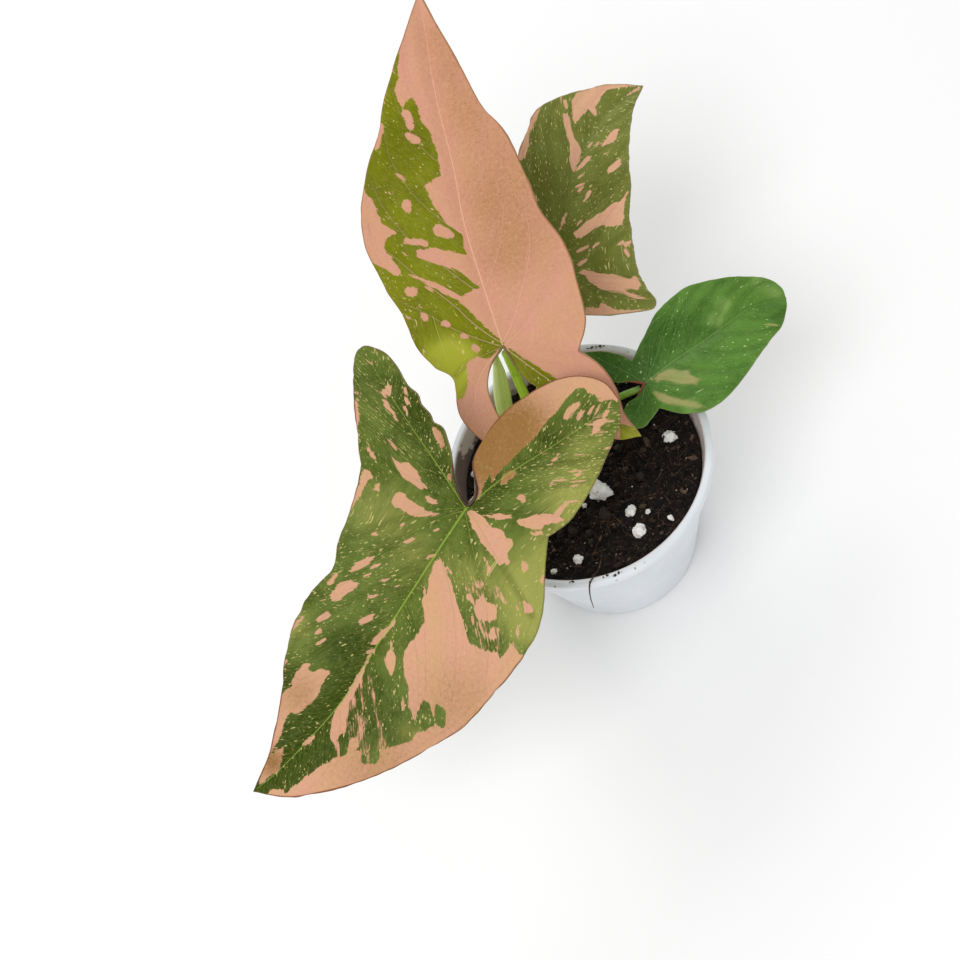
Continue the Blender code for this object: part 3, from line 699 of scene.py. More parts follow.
FRONT_MARKS = (
    Patch(((-1.1, 13.1), (-0.6, 15), (-1.2, 16.3), (-1.9, 18.6), (-3.1, 21.4), (-3, 23.4),
           (-6.2, 27.1), (-6.4, 30.4), (-5.8, 33.5), (-5.7, 35.2), (-6.5, 37.4), (-8.4, 39.9),
           (-10.7, 41.7), (-13.1, 45.6), (-14.2, 46.5), (-16, 47.8), (-15.4, 45.8), (-15.7, 44.5),
           (-15, 42), (-17.1, 42.6), (-19.5, 44.8), (-18.6, 41.9), (-20.3, 41.6), (-21.4, 42.5),
           (-22.7, 45.2), (-23.2, 46.5), (-25, 50), (-32, 40), (-34, 19), (-28.8, 21.8),
           (-26.4, 20.1), (-25.9, 20.4), (-26.2, 23.2), (-25.9, 25), (-24.5, 24), (-21.3, 25.8),
           (-18.3, 25.8), (-15.7, 23.9), (-10.6, 19.8), (-8, 17.1), (-5, 15.1), (-3.4, 13.9))),
    Patch(((13.1, 49.8), (12, 49.4), (11.6, 51), (10.6, 50.8), (9.4, 49.2), (6.9, 48.3),
           (7.2, 50.6), (6.9, 54.5), (7.2, 57.3), (8.3, 59.2), (9.1, 61.6), (10.5, 61.5),
           (10.9, 63.7), (10.3, 66.2), (10, 69.3), (9.9, 72.4), (10.7, 74.5), (15, 70), (17, 61),
           (14.2, 59.2), (14.1, 57.5), (13.4, 56.3), (13.8, 54.7), (13.8, 52.3))),
    Patch(((8.2, 69.6), (7.5, 71.4), (7.1, 73.6), (6.6, 75.7), (7.4, 76.7), (8.3, 78), (8.7, 79.8),
           (9.3, 80.7), (9.8, 79.1), (10.4, 74.6), (9.7, 72.8), (8.9, 70.8))),
    Patch(((1.5, 39.3), (1.4, 41.7), (1.2, 44.8), (1.2, 48.5), (1.3, 51.6), (1.6, 54.9),
           (1.4, 57.7), (-0.5, 62), (-2.3, 62.5), (-2.3, 60.1), (-3.5, 59.1), (-1.8, 55.9),
           (-0.2, 52), (-0.3, 49.3), (0.1, 45.8), (0.7, 42))),
    Patch(((0.2, 29.6), (0.7, 32.1), (1.5, 34.2), (2, 36.1), (2.3, 38.4), (0.9, 37.9), (0.5, 36),
           (0.2, 33.7), (-0.1, 31.9))),
    Patch(((2.8, 62.8), (3.9, 64.3), (4.7, 66.6), (4.4, 67.2), (3.4, 66.1), (2.7, 64.4))),
    Patch(((-2.4, 36.4), (-3.7, 37), (-4.8, 37.4), (-5.4, 38.8), (-5.8, 40.3), (-5.9, 41.8),
           (-4.4, 41.3), (-2.4, 39.9), (-2.5, 38.8))),
    Patch(((6, 80.8), (6.1, 79.7), (3.4, 78.3), (2.5, 78.9), (1.7, 77.9), (2.1, 76.7), (0.6, 74.9),
           (0.1, 72.9), (-2.4, 68.1), (-4.4, 64.5), (-2.1, 62.1), (-2.8, 61.4), (-4.9, 63.9),
           (-6, 63.2), (-5.8, 61.4), (-4.8, 59.3), (-6.1, 58.5), (-7.8, 59.4), (-7, 61.5),
           (-8.5, 60.6), (-10.1, 62.8), (-13, 61.5), (-13.4, 59.8), (-13.5, 56.6), (-16, 54.2),
           (-17.5, 52.2), (-18, 49.2), (-19.3, 48.7), (-20.4, 45.9), (-22.2, 45.8), (-23.1, 44.9),
           (-23.6, 42), (-27, 38), (-30, 46), (-24, 54), (-14, 70), (-4, 80), (6, 85))),
    Patch(((15.4, 26.7), (15.1, 25.4), (14.7, 23.9), (13.7, 22.3), (12, 20.7), (12.1, 21.8),
           (12.5, 23.4), (13.6, 25.1), (14.6, 26.5))),
    Patch(((16.3, 33.6), (16.3, 32.6), (15.9, 31), (15.2, 29.5), (14.3, 28.3), (13, 28.2),
           (12.1, 27.9), (11.9, 29.1), (12.9, 31.1), (13.5, 33.3), (14.9, 34.5))),
    Patch(((16, 40.3), (15.7, 39.1), (15.3, 37.8), (14.8, 37), (13.7, 37.4), (13.5, 38.1),
           (14.5, 39.2), (15.3, 40.2))),
    Patch(((6.8, 36.2), (7.3, 34.9), (7, 34), (6.2, 32.7), (4.9, 31.2), (4.7, 32.1), (4.9, 33.5),
           (5.5, 34.7))),
    Patch(((19.9, 44.8), (19.6, 42.5), (19.1, 41.1), (18.7, 40.4), (18.3, 41.1), (18.9, 42.8),
           (19.2, 44.6))),
    Patch(((14.9, 43.1), (14.6, 42.2), (14.1, 40.8), (13.3, 41.7), (13.8, 42.6))),
    Patch(((31.2, -14.2), (31, -15.6), (30.2, -15.7), (29.5, -14.4), (29.3, -13), (30.1, -13.1),
           (30, -12.3), (32, -13.1))),
    Patch(((30.5, -11.8), (29.2, -11.9), (27.6, -11.1), (25.6, -10), (24.4, -9), (25.1, -8.9),
           (26.8, -9.8), (29, -10.2))),
    Patch(((25.5, -12.7), (24.8, -13.1), (23.3, -12.1), (22.5, -11.1), (23.5, -11.1),
           (24.2, -12.1))),
    Patch(((37.4, -7.3), (35.7, -8.4), (34.2, -6), (33.5, -5.5), (31.6, -1.7), (29.5, 0.8),
           (31.2, -0.1), (34.6, -2.7))),
    Patch(((16.6, -12.2), (15.6, -12.4), (14.4, -12.2), (13, -11.3), (11.6, -9.9), (12.1, -8.8),
           (13.7, -9.7), (15.1, -10.3))),
    Patch(((25.3, 5.1), (23.7, 4.9), (22, 5.7), (22.6, 6.9), (22.6, 8.3), (22, 10.4), (22.2, 12.3),
           (22.5, 14.7), (24, 14.5), (23.6, 10.5), (23.8, 8.2))),
    Patch(((20.6, 6.6), (20.1, 6.2), (19, 7.4), (19.4, 7.9), (20.4, 8.1))),
    Patch(((21.6, -1.2), (19.9, -0.8), (18.2, -0.8), (17, -1.9), (14.3, -0.8), (12.3, 0.2),
           (9.4, 1.3), (11.5, 1.9), (14.5, 1.9), (16.4, 2), (18.4, 1.1))),
    Patch(((15.4, 6), (15, 5.3), (13.9, 5), (12.6, 5.3), (9.9, 5.5), (7.2, 5.4), (4, 4.1),
           (4.9, 5.1), (7.2, 6.8), (9.1, 8.1), (11.5, 8.2), (13.7, 8.6), (15.2, 8.3), (15.4, 7.3))),
    Patch(((9.6, 2.7), (8.5, 2.3), (6.6, 2.1), (6.2, 2.7), (7, 3.7), (8.5, 3.5))),
    Patch(((-1.4, -3.1), (-1, -5.4), (-0.4, -7), (-0.4, -9.6), (-1.8, -8.4), (-1.9, -10.8),
           (-2.2, -13.6), (-2.8, -16), (-3.1, -18.5), (-3.9, -21.1), (-4.1, -22.7), (-4, -26.9),
           (-4.3, -30.2), (-4.5, -33.5), (-4.5, -35.1), (-4.7, -36.8), (-5, -38.3), (-6, -39.4),
           (-7.6, -39.2), (-10.8, -39.6), (-13.4, -41.2), (-15, -42.7), (-14, -47), (2, -45),
           (10, -24), (8, -6))),
    Patch(((-6.6, -30.2), (-6.1, -31.7), (-6.1, -33.3), (-6.4, -34.8), (-7.1, -35.9), (-7.9, -35.5),
           (-7.8, -34.1), (-7.9, -32.3), (-8.1, -30.9))),
    Patch(((-13.5, -38.6), (-14.4, -38.6), (-14.8, -36.4), (-15.3, -34.8), (-15.5, -33),
           (-14.8, -30.7), (-14, -31.9), (-13, -34.1), (-14.1, -35.8), (-13.6, -37.4))),
    Patch(((-3.4, -9.1), (-3.1, -10.7), (-3.4, -12.3), (-4, -13.5), (-5, -14.2), (-5.3, -12.9),
           (-5, -11.3), (-4.7, -9.6), (-4.2, -8.8))),
    Patch(((-8.7, -8.4), (-8.9, -9.4), (-9.3, -10.1), (-10.3, -9.8), (-11.3, -8.7), (-10.7, -8),
           (-9.9, -8.4))),
    Patch(((-4.3, -0.6), (-5.8, -1.7), (-7.4, -3.2), (-8.4, -3.5), (-9.8, -4.2), (-10.7, -4.2),
           (-10, -3.1), (-8.5, -2), (-6.7, -1.3))),
    Patch(((-11.8, -3.8), (-13.8, -5.8), (-14.9, -7.1), (-16.2, -8.6), (-17.4, -9.7),
           (-21.1, -10.3), (-20.5, -9.1), (-18.8, -7.5), (-17.8, -6.4), (-17.6, -5.1), (-16, -4.2),
           (-14.6, -3.8), (-13.2, -3.7))),
    Patch(((-0.8, 0.6), (-1.3, -0.3), (-3.2, -0.5), (-5.1, -0.6), (-6.2, 0.1), (-7.9, 0.5),
           (-10.5, -0.3), (-12.1, 0.6), (-13.6, 0.7), (-14.3, 1.7), (-14, 3.8), (-15.9, 5.1),
           (-15.9, 5.9), (-14.9, 6), (-14.3, 6.9), (-12, 6.4), (-9.5, 5.5), (-6.8, 4.4),
           (-3.9, 3.1), (-1.5, 1.3))),
    Patch(((-9.9, 7.4), (-10.7, 7.3), (-13.1, 8.5), (-13.3, 9.2), (-13.2, 10.3), (-12.1, 9.9),
           (-11.4, 8.4))),
    Patch(((-17.8, 3.3), (-18.7, 3), (-20.2, 3.2), (-19.9, 5.3), (-18.9, 5.1))),
    Patch(((-11, 16.8), (-11.9, 16), (-14, 17.2), (-13.5, 17.7), (-12.1, 17.8))),
    Patch(((-13.9, 16.6), (-14.3, 15.9), (-15.4, 15.5), (-17.7, 15.6), (-18.4, 14.9), (-18.9, 15.4),
           (-20.2, 17.8), (-19.8, 18.9), (-17.6, 19.8), (-16.2, 19.8), (-14.4, 18.2))),
    Patch(((-20.2, 20.5), (-20.8, 19.6), (-22.5, 21.2), (-22.4, 22.3), (-21.7, 22.8), (-19.8, 22.4),
           (-20.6, 21.6))),
    Patch(((-23.3, 11), (-23.8, 10.7), (-26.4, 11.7), (-25.9, 12.6), (-24.8, 13))),
    Patch(((-0.4, 46.5), (-0.7, 44.7), (-2.2, 44.8), (-5.8, 48.6), (-8.9, 49.8), (-11.6, 51.6),
           (-14, 53.6), (-13.5, 56.6), (-13, 59.6), (-11.1, 62.1), (-8.3, 60.4), (-6.3, 58.4),
           (-5.1, 59.7), (-3.2, 58.2), (-0.9, 52.9), (-0.4, 50.3)), mottled=True),
    Patch(((-9.7, 14.4), (-11.2, 12.4), (-14.9, 11.2), (-17.4, 11.7), (-17.9, 14.2), (-14.2, 15.4),
           (-10.7, 15.9)), mottled=True),
    Patch(((-13.4, 23.7), (-15.4, 21.6), (-19.6, 19.5), (-21.9, 19.7), (-24.5, 23.5), (-21.3, 25.8),
           (-18.4, 26)), mottled=True),
    Patch(((-12.6, -31), (-11.7, -38.3), (-13.5, -40.6), (-15.8, -39), (-17.1, -35.5),
           (-16.3, -31.8)), mottled=True),
    Patch(((-7.1, -20.5), (-7, -24), (-8.2, -27.9), (-9.9, -27.2), (-8.9, -22.9),
           (-8.3, -20.1)), mottled=True),
    *streaks(
        (17.1, 51.8, 16.8, 53.8, 0.4, 0.2), (11.7, 26, 10.7, 24.9, 0.3, 0.3),
        (17.6, 28.8, 17.7, 31.3, 0.4, 0.5), (11.9, 42.7, 12.7, 44.5, 0.3, 0.3),
        (10.7, 11.5, 10.1, 10.8, 0.3, 0.3), (3.3, 8.5, 2.8, 7.6, 0.3, 0.3),
        (15.1, 16.6, 14.4, 16.2, 0.3, 0.3), (26.5, -16.8, 25.6, -15.9, 0.4, 0.4),
        (25.5, -14.8, 24.3, -14.1, 0.4, 0.4), (37.4, -9.7, 36.5, -9.7, 0.3, 0.3),
        (26.6, 0.7, 24.4, 1.8, 0.4, 0.4), (23.8, -3.8, 21.2, -2.9, 0.3, 0.3),
        (7.6, -4.6, 6.6, -3.5, 0.3, 0.3), (-9.4, -34.7, -9.5, -32.2, 0.4, 0.4),
        (-10.8, -37.2, -10.9, -35.1, 0.3, 0.3), (-11, -39.3, -12.4, -41, 0.4, 0.4),
        (-13.5, -15.5, -14.3, -16.3, 0.5, 0.5), (-11.1, -22.6, -11, -19.5, 0.3, 0.3),
        (-17.8, -21.8, -17.6, -20.2, 0.3, 0.3), (-16.5, -3.3, -18.3, -4.5, 0.4, 0.4),
        (-18.2, 12.6, -20, 13.6, 0.3, 0.3), (-23.6, 2.9, -24.6, 5, 0.4, 0.4),
        (-11.7, 13.7, -12.8, 13.6, 0.3, 0.3), (-3.7, 14, -5.5, 14.5, 0.3, 0.3),
    ),
)

FRONT_SHADES = (
    # The first two dusk spots paint shade on the inner part of the left lobe by the notch, which
    # tilts away from the light.
    *spots_of(Mood.TAN_AND_SHADE, (3, -13, 11, 1.15), (0, -24, 9, 0.7), (-22, 38, 11, 0.45),
              (-14, 62, 14, 0.5), (11, 57, 6, 0.5), (9, 74, 4, 0.9)),
    # Most of these lime spots paint a lighter sheen over the blade's own greens.
    *spots_of(Mood.LIME_AND_SHEEN, (-28, 12, 9, 1.0), (-26, -2, 8, 0.7), (-20, 6, 8, 0.4), (-9, 13, 7, 0.45),
              (3, 17, 7, 0.35), (14, 10, 9, 0.45), (9, -16, 6, 0.3), (9, 28, 6, 0.2),
              (19, 44, 5, 0.6), (22, 14, 6, 0.3), (-17, -15, 9, 0.45), (-22, -17, 7, 0.4),
              (-13, -28, 5, 0.25), (-20, -30, 8, 0.3), (-16, 51, 4, 0.6)),
    *spots_of(Mood.DEEP, (10, -4, 4.5, 0.9), (19, -12, 8, 0.7), (-3, -2, 4, 0.8), (-3, -9, 4, 0.9),
              (-6.4, -24, 4, 0.8), (2.5, 38, 5, 0.5), (8, 43, 6, 0.8), (15.2, 55.5, 3.5, 1.0),
              (2, 50, 5, 0.7), (3, 59, 6, 0.9), (4, 69, 9, 1.3), (5, 78, 9, 1.3), (-6, 46, 5, 0.4),
              (-6, 54, 6, 0.6), (-15, 24, 4, 0.6), (-14, 53, 5, 0.5), (26, -17, 8, 0.6),
              (-8, 34, 6, 0.4)),
    *spots_of(Mood.CROWD, (9, 22, 13, 0.25), (-13, 10, 8, 0.25), (30, -8, 12, 0.15),
              (-15, -14, 10, 0.5), (-16, -27, 9, 0.5), (0, 8, 7, -0.3), (4, 55, 9, -0.2)),
)

FRONT_LEAF = Leaf(
    name="front_leaf",
    junction=(-29.8, -11.6, 85.0),
    heading=202,
    rise=-8,
    roll=-16,
    droop=12,
    length=86,
    midrib=((0, 0), (0.2, 12), (0.4, 24), (0.8, 38), (1.2, 52), (3.8, 65), (6.6, 75), (9.8, 83)),
    left=Half(
        lobe_vein=((-14.5, -42.3), (-12, -33), (-8.5, -23), (-3.5, -11), (0, 0)),
        sinus=((-14.5, -42.3), (-8.5, -43.4), (-1.5, -39.3), (3.4, -30), (5.8, -20), (5.2, -11),
               (2.0, -7.0), (-0.2, -4.4), (-0.5, -2.4), (-0.3, -1.3), (0, -0.8)),
        lobe_margin=((-14.5, -42.3), (-18.3, -37), (-20.6, -28), (-22.3, -18), (-22.2, -11),
                     (-20, -4.8)),
        margin=((-20, -4.8), (-24, 2.8), (-28.3, 10.3), (-30, 19), (-29, 31), (-26.3, 43),
                (-20.5, 54.5), (-12.8, 65.7), (-4, 74.7), (2, 79.5), (9.8, 83)),
        lobe_droop=10, sinus_lift=2.5, wave=0.8, wave_count=2.5,
    ),
    right=Half(
        lobe_vein=((41.5, -20.5), (31, -14.5), (21, -9.5), (10, -4.5), (0, 0)),
        sinus=((41.5, -20.5), (40.2, -21.5), (35, -21.9), (30.5, -20.3), (26.4, -17.8),
               (23.2, -17.2), (21.4, -15.4), (18.3, -14.4), (16.7, -13.1), (14.2, -13.2),
               (12.2, -11.6), (9.8, -9.2), (6.8, -5.4), (4.2, -2.8), (1.9, -1.3), (0, -0.8)),
        lobe_margin=((41.5, -20.5), (41.8, -18.4), (40, -13.6), (36.5, -7.8), (31.5, -1.2),
                     (26, 4.5)),
        margin=((26, 4.5), (23.3, 11.5), (21, 22), (19, 28.5), (20.3, 34.5), (19.8, 43),
                (18.2, 50), (14.8, 58.5), (12, 67), (10.3, 74), (9.8, 83)),
        lobe_droop=-10, fold=14, sinus_lift=2.0, wave=0.8, wave_count=3.0,
        wave_phase=0.3,
    ),
    stalk=((-9.5, 8.5, 0.0), (-10.5, 6.8, 55.0), (-16.5, 0.5, 68.0), (-24.5, -7.0, 78.5),
           (-28.6, -10.6, 82.9)),
    stalk_radii=(1.9, 1.7, 1.4, 1.2, 1.1),
    finish=LeafFinish(
        name="front_leaf", green=(92, 110, 44), deep_green=(38, 58, 0), lime_and_sheen=(152, 154, 78),
        pale=(208, 161, 121), rosy=(212, 158, 132), tan_and_painted_shade=(152, 110, 62), fleck=(206, 192, 124),
        vein=(150, 178, 66), margin=(120, 66, 44), fleck_share=0.4, patch_share=0.12,
        gloss=0.05, seed=3,
    ),
    marks=FRONT_MARKS,
    shades=FRONT_SHADES,
    vein_tone=0.62,
    side_tone=0.55,
    midrib_width=0.26,
    edge_colour=(58, 24, 14),
)

BACK_MARKS = (
    Patch(((-11.2, 45.1), (-10.4, 43.1), (-9.6, 40.4), (-8.4, 39.2), (-7.9, 40.2), (-7.6, 41.1),
           (-6.9, 42.4), (-6.2, 43.9), (-5.3, 43.5), (-4.2, 42.4), (-3.5, 42.8), (-4.6, 44.8),
           (-3.8, 46.7), (-3.8, 47.8), (-2.9, 49.5), (-1.7, 50.6), (1.6, 51.8), (4, 52.3), (6, 55),
           (-5.6, 54), (-9.6, 49))),
    Patch(((-12.6, 41.2), (-11.3, 41.5), (-10.1, 40.3), (-8, 35.7), (-6.2, 34.2), (-5.2, 32.4),
           (-4.8, 30.1), (-5.5, 26.6), (-6.7, 28), (-8.4, 33.2), (-10.5, 36.9), (-11.7, 39.2))),
    Patch(((-3, 31.4), (-1.7, 31.5), (-2, 30.7), (-3.6, 28.4), (-4.9, 27.3), (-4.5, 29))),
    Patch(((0, 34.1), (1.1, 37.3), (2.4, 39.6), (3.6, 39.5), (3.8, 37.6), (2.9, 35.8),
           (1.4, 35.1))),
    Patch(((3.9, 27.5), (3.4, 29), (4.6, 30.8), (5.9, 32.1), (6.6, 31.6), (6.5, 30), (5.1, 28.1))),
    Patch(((-18.6, 41.8), (-18.9, 40.1), (-19, 36.4), (-20.1, 35.4), (-19.1, 31.2), (-19.4, 28.1),
           (-24, 24), (-24, 40), (-18, 47))),
    Patch(((-5, 16.3), (-4.3, 15.6), (-4.7, 13.7), (-4.9, 11.2), (-5.6, 10.8), (-5.5, 13.8))),
    Patch(((-1.3, 10.9), (0.6, 13.1), (3, 15.8), (5.4, 17.5), (6.4, 19.2), (7.4, 20.4), (8.9, 20.9),
           (10.2, 24.3), (10.5, 22.2), (10.3, 20), (11.1, 17.7), (11.4, 14.6), (7.2, 13.7),
           (5.7, 14.1), (3.4, 12.1), (0.9, 9.7), (-0.5, 9.7))),
    Patch(((1.3, 2.6), (2, 4), (3.5, 5), (4.1, 4.8), (3.5, 3.7), (2.4, 2.7))),
    Patch(((1.7, 0.8), (3.7, 1.9), (8.3, 1.5), (11.4, 2.3), (16.1, 1.8), (17.2, 2.8), (18.7, 2),
           (19.6, 0.6), (18.9, -0.9), (16.9, -0.7), (15.4, -1.2), (19.4, -2.3), (22.4, -2.6),
           (19.1, -3.1), (15.2, -2.3), (11.9, -2.3), (9.1, -2.2), (6, -0.9), (4, 0.6))),
    Patch(((6.1, -7.4), (9.9, -7), (10, -6), (11.5, -5.5), (13.7, -6.7), (20.7, -5.7), (23.2, -4.9),
           (21.1, -7.7), (6.9, -11.2))),
    *streaks(
        (5.2, 52.1, 2.8, 49.6, 0.4, 0.2), (-12.7, 44.6, -12, 43, 0.4, 0.4),
        (-3.5, 34.2, -2.7, 35.2, 0.3, 0.3), (-1.4, 34.4, -0.7, 35.6, 0.3, 0.3),
        (-3.8, 25.4, -2.3, 26.8, 0.3, 0.3), (-3.8, 23, -1.7, 24.2, 0.3, 0.3),
        (-2.7, 21.8, -1.9, 23.1, 0.3, 0.3), (-0.4, 19.3, 0.3, 21.9, 0.4, 0.3),
        (-1, 13.1, 0, 14.3, 0.3, 0.3), (13.6, 10, 14.7, 10.9, 0.5, 0.5),
        (10.8, 9.3, 12.4, 10.3, 0.3, 0.3), (0.7, 6.2, 3.3, 8.1, 0.3, 0.3),
        (5, 8.1, 6.4, 9.4, 0.3, 0.3), (13.7, 8.4, 14.7, 7.5, 0.3, 0.3),
    ),
)

BACK_SHADES = (
    *spots_of(Mood.DEEP, (-13, 20, 12, 0.7), (-3, 8, 6, 0.5)),
    *spots_of(Mood.LIME_AND_SHEEN, (20, 0, 6, 0.4), (-16, 42, 6, 0.3), (-3, 38, 7, 0.3), (12, 10, 6, 0.3)),
    *spots_of(Mood.CROWD, (-14, 32, 8, 0.2), (11, 8, 7, 0.25)),
)

BACK_LEAF = Leaf(
    name="back_leaf",
    junction=(25.6, 36.9, 72.0),
    heading=38,
    rise=24,
    roll=6,
    droop=14,
    length=58,
    midrib=((0, 0), (-4, 11), (-5.5, 24), (-4.5, 35), (-1.5, 44), (6, 53)),
    left=Half(
        lobe_vein=((-21, -10), (-14, -7.5), (-6, -3.5), (0, 0)),
        sinus=((-21, -10), (-15.5, -13), (-8.5, -12), (-3.5, -6.5), (0, 0)),
        lobe_margin=((-21, -10), (-21.3, -5), (-18.8, 1), (-17.8, 5)),
        margin=((-17.8, 5), (-20, 13), (-21.5, 22), (-21.2, 32), (-20, 40), (-14.8, 45),
                (-8.5, 48.8), (-3.5, 51.5), (6, 53)),
        lobe_droop=10, curl=10, wave=0.7,
    ),
    right=Half(
        lobe_vein=((24.3, -3.8), (17, -3.5), (8, -2.6), (0, 0)),
        sinus=((24.3, -3.8), (23.4, -5.0), (18, -7.0), (11.5, -8.8), (6, -9.2), (2.5, -5.5),
               (0, 0)),
        lobe_margin=((24.3, -3.8), (24.0, -2.4), (21.5, -0.1), (18.2, 3.2)),
        margin=((18.2, 3.2), (15.5, 9.5), (12.6, 17), (10.8, 24.5), (8.7, 31), (7, 38),
                (5.6, 46), (6, 53)),
        lobe_droop=10, curl=10, wave=0.8, wave_count=2.5, wave_phase=0.2,
    ),
    stalk=((-0.8, 19.0, 0.0), (1.0, 20.6, 53.0), (9.5, 26.5, 62.0), (19.5, 33.2, 68.6),
           (24.2, 36.4, 69.9)),
    stalk_radii=(1.7, 1.5, 1.2, 1.1, 1.0),
    finish=LeafFinish(
        name="back_leaf", green=(112, 120, 52), deep_green=(82, 88, 20), lime_and_sheen=(136, 144, 70),
        pale=(214, 170, 132), rosy=(214, 162, 134), tan_and_painted_shade=(172, 128, 86), fleck=(202, 196, 128),
        vein=(120, 140, 84), margin=(150, 128, 84), fleck_share=0.4, patch_share=0.06,
        gloss=0.1, seed=23,
    ),
    marks=BACK_MARKS,
    shades=BACK_SHADES,
    vein_tone=0.3,
)

SMALL_MARKS = (
    Patch(((0.5, 2.8), (0.2, 4.6), (1.2, 6.8), (3.7, 8.8), (4.8, 10.4), (7.6, 10.6), (9, 11.1),
           (9.3, 9.7), (6.6, 6.7), (3, 4.3), (2.2, 2.6))),
    Patch(((3.8, 0.4), (5.1, 1.4), (7.8, 2.7), (12.5, 6.4), (15.9, 7.9), (15, 6.1), (12.2, 4.1),
           (8.2, 0.8), (6.1, 0.1))),
)

SMALL_SHADES = (
    *spots_of(Mood.LIME_AND_SHEEN, (-5, 28.5, 2.4, 0.8), (-2.7, 24, 2.4, 0.8), (-9, 5, 1.8, 1.0),
              (-6, 3.4, 1.6, 0.9), (13, 5, 3, 0.6), (-7, 40, 4, 0.5), (-1, 42, 3, 0.6)),
    *spots_of(Mood.DEEP, (-8, 11, 6, 0.8), (-7, 22, 5, 0.4), (-5, 3, 5, 0.7), (-10, -4, 7, 1.0),
              (4, -4, 6, 0.7)),
)

SMALL_LEAF = Leaf(
    name="small_leaf",
    junction=(24.8, 3.2, 62.0),
    heading=1,
    rise=10,
    roll=8,
    droop=30,
    length=43,
    midrib=((0, 0), (0.1, 10), (0.3, 18), (-0.3, 26), (-1, 34), (0.8, 43.8)),
    left=Half(
        lobe_vein=((-16.8, -6.5), (-10, -3.6), (-4.5, -1.4), (0, 0)),
        sinus=((-16.8, -6.5), (-11.5, -7), (-5.5, -5.7), (-2.6, -2.4), (0, 0)),
        lobe_margin=((-16.8, -6.5), (-13.8, -3), (-10, -0.2), (-6.6, 1.2)),
        margin=((-6.6, 1.2), (-9.5, 6.8), (-13, 14), (-14.6, 22), (-12.7, 29), (-9.6, 36.5),
                (-6.3, 42.3), (-2.5, 44.2), (0.8, 43.8)),
        lobe_droop=5, wave=0.4,
    ),
    right=Half(
        lobe_vein=((7.3, -10.2), (5.2, -6.5), (2.8, -2.6), (0, 0)),
        sinus=((7.3, -10.2), (3.8, -9.6), (1.4, -6.8), (1.6, -3.4), (0, 0)),
        lobe_margin=((7.3, -10.2), (9.4, -7), (8.7, -3.6), (8, -1.2)),
        margin=((8, -1.2), (13.5, 2.6), (16.8, 8), (16.6, 14.5), (13.4, 24), (10.4, 31),
                (7.8, 37), (4, 41.4), (0.8, 43.8)),
        lobe_droop=5, wave=0.4,
    ),
    stalk=((1.5, 11.0, 0.0), (3.2, 10.2, 52.0), (10.5, 7.8, 57.2), (18.5, 5.0, 59.8),
           (23.4, 3.4, 60.3)),
    stalk_radii=(1.4, 1.3, 1.0, 0.95, 0.9),
    finish=LeafFinish(
        name="small_leaf", green=(84, 128, 44), deep_green=(34, 78, 0), lime_and_sheen=(122, 156, 76),
        pale=(128, 152, 78), rosy=(162, 152, 98), tan_and_painted_shade=(150, 130, 90), fleck=(176, 200, 134),
        vein=(120, 158, 84), margin=(112, 140, 50), fleck_share=0.12, patch_share=0.0,
        fleck_size=0.3, blur=0.6, gloss=0.2, seed=31,
    ),
    marks=SMALL_MARKS,
    shades=SMALL_SHADES,
    vein_tone=0.45,
    unevenness=0.2,
    edge_colour=(120, 58, 30),
    rows=11,
    lobe_rows=4,
    columns=4,
    lobe_columns=2,
)

LEAVES = (PINK_LEAF, FRONT_LEAF, BACK_LEAF, SMALL_LEAF)

SPEAR_PATH = ((-8.8, 15.2, 0.0), (-8.7, 18.0, 50.0), (-8.2, 21.2, 57.0), (-6.2, 23.3, 64.0),
              (-4.2, 24.2, 71.0), (-2.6, 24.5, 79.0))
SPEAR_RADII = (1.9, 2.1, 2.4, 2.4, 1.7, 0.5)


# Shared shapes.


# A distance past anything here, and two small values that keep a division safe.
FAR = 1e9
SMALL = 1e-9
TINY = 1e-12


@lru_cache(maxsize=None)
def smooth_point(points: tuple, fraction: float) -> Vector:
    """The point at a fraction of the way along a smooth curve through the given points."""
    knots = [Vector(point) for point in points]
    steps = [(b - a).length for a, b in zip(knots, knots[1:])]
    distance = clamp(fraction, 0.0, 1.0) * sum(steps)
    index = 0
    while index < len(steps) - 1 and distance > steps[index]:
        distance -= steps[index]
        index += 1
    t = min(distance / steps[index], 1.0)
    start, end = knots[index], knots[index + 1]
    before = knots[index - 1] if index > 0 else start * 2 - end
    after = knots[index + 2] if index + 2 < len(knots) else end * 2 - start
    leave = (end - before) / 2
    arrive = (after - start) / 2
    return (start * (2 * t**3 - 3 * t**2 + 1) + leave * (t**3 - 2 * t**2 + t)
            + end * (3 * t**2 - 2 * t**3) + arrive * (t**3 - t**2))


@lru_cache(maxsize=None)
def path_length(points: tuple) -> float:
    """The length of a broken line."""
    return sum((Vector(b) - Vector(a)).length for a, b in zip(points, points[1:]))


def eased(values: tuple, part: float) -> float:
    """A value read from an even row of values, with straight steps between them."""
    along = clamp(part, 0.0, 1.0) * (len(values) - 1)
    first = min(int(along), len(values) - 2)
    return values[first] + (values[first + 1] - values[first]) * (along - first)


def arc(angle: float, bend: float, distance: float) -> tuple[float, float]:
    """How far along and how high an arc leads that starts at an angle and bends down."""
    if abs(bend) < SMALL:
        return distance * cos(angle), distance * sin(angle)
    end = angle - bend * distance
    return (sin(angle) - sin(end)) / bend, (cos(end) - cos(angle)) / bend


def clamp(value: float, low: float, high: float) -> float:
    """The value, kept between two limits."""
    return min(max(value, low), high)


def drop_onto(points: np.ndarray, start: tuple, end: tuple) -> tuple[np.ndarray, np.ndarray]:
    """How far along a straight line each flat point comes nearest to it, and how near."""
    a, b = np.array(start[:2], float), np.array(end[:2], float)
    step = b - a
    part = np.clip((points - a) @ step / max(step @ step, TINY), 0.0, 1.0)
    gap = points - a - part[:, None] * step
    return part, np.hypot(gap[:, 0], gap[:, 1])


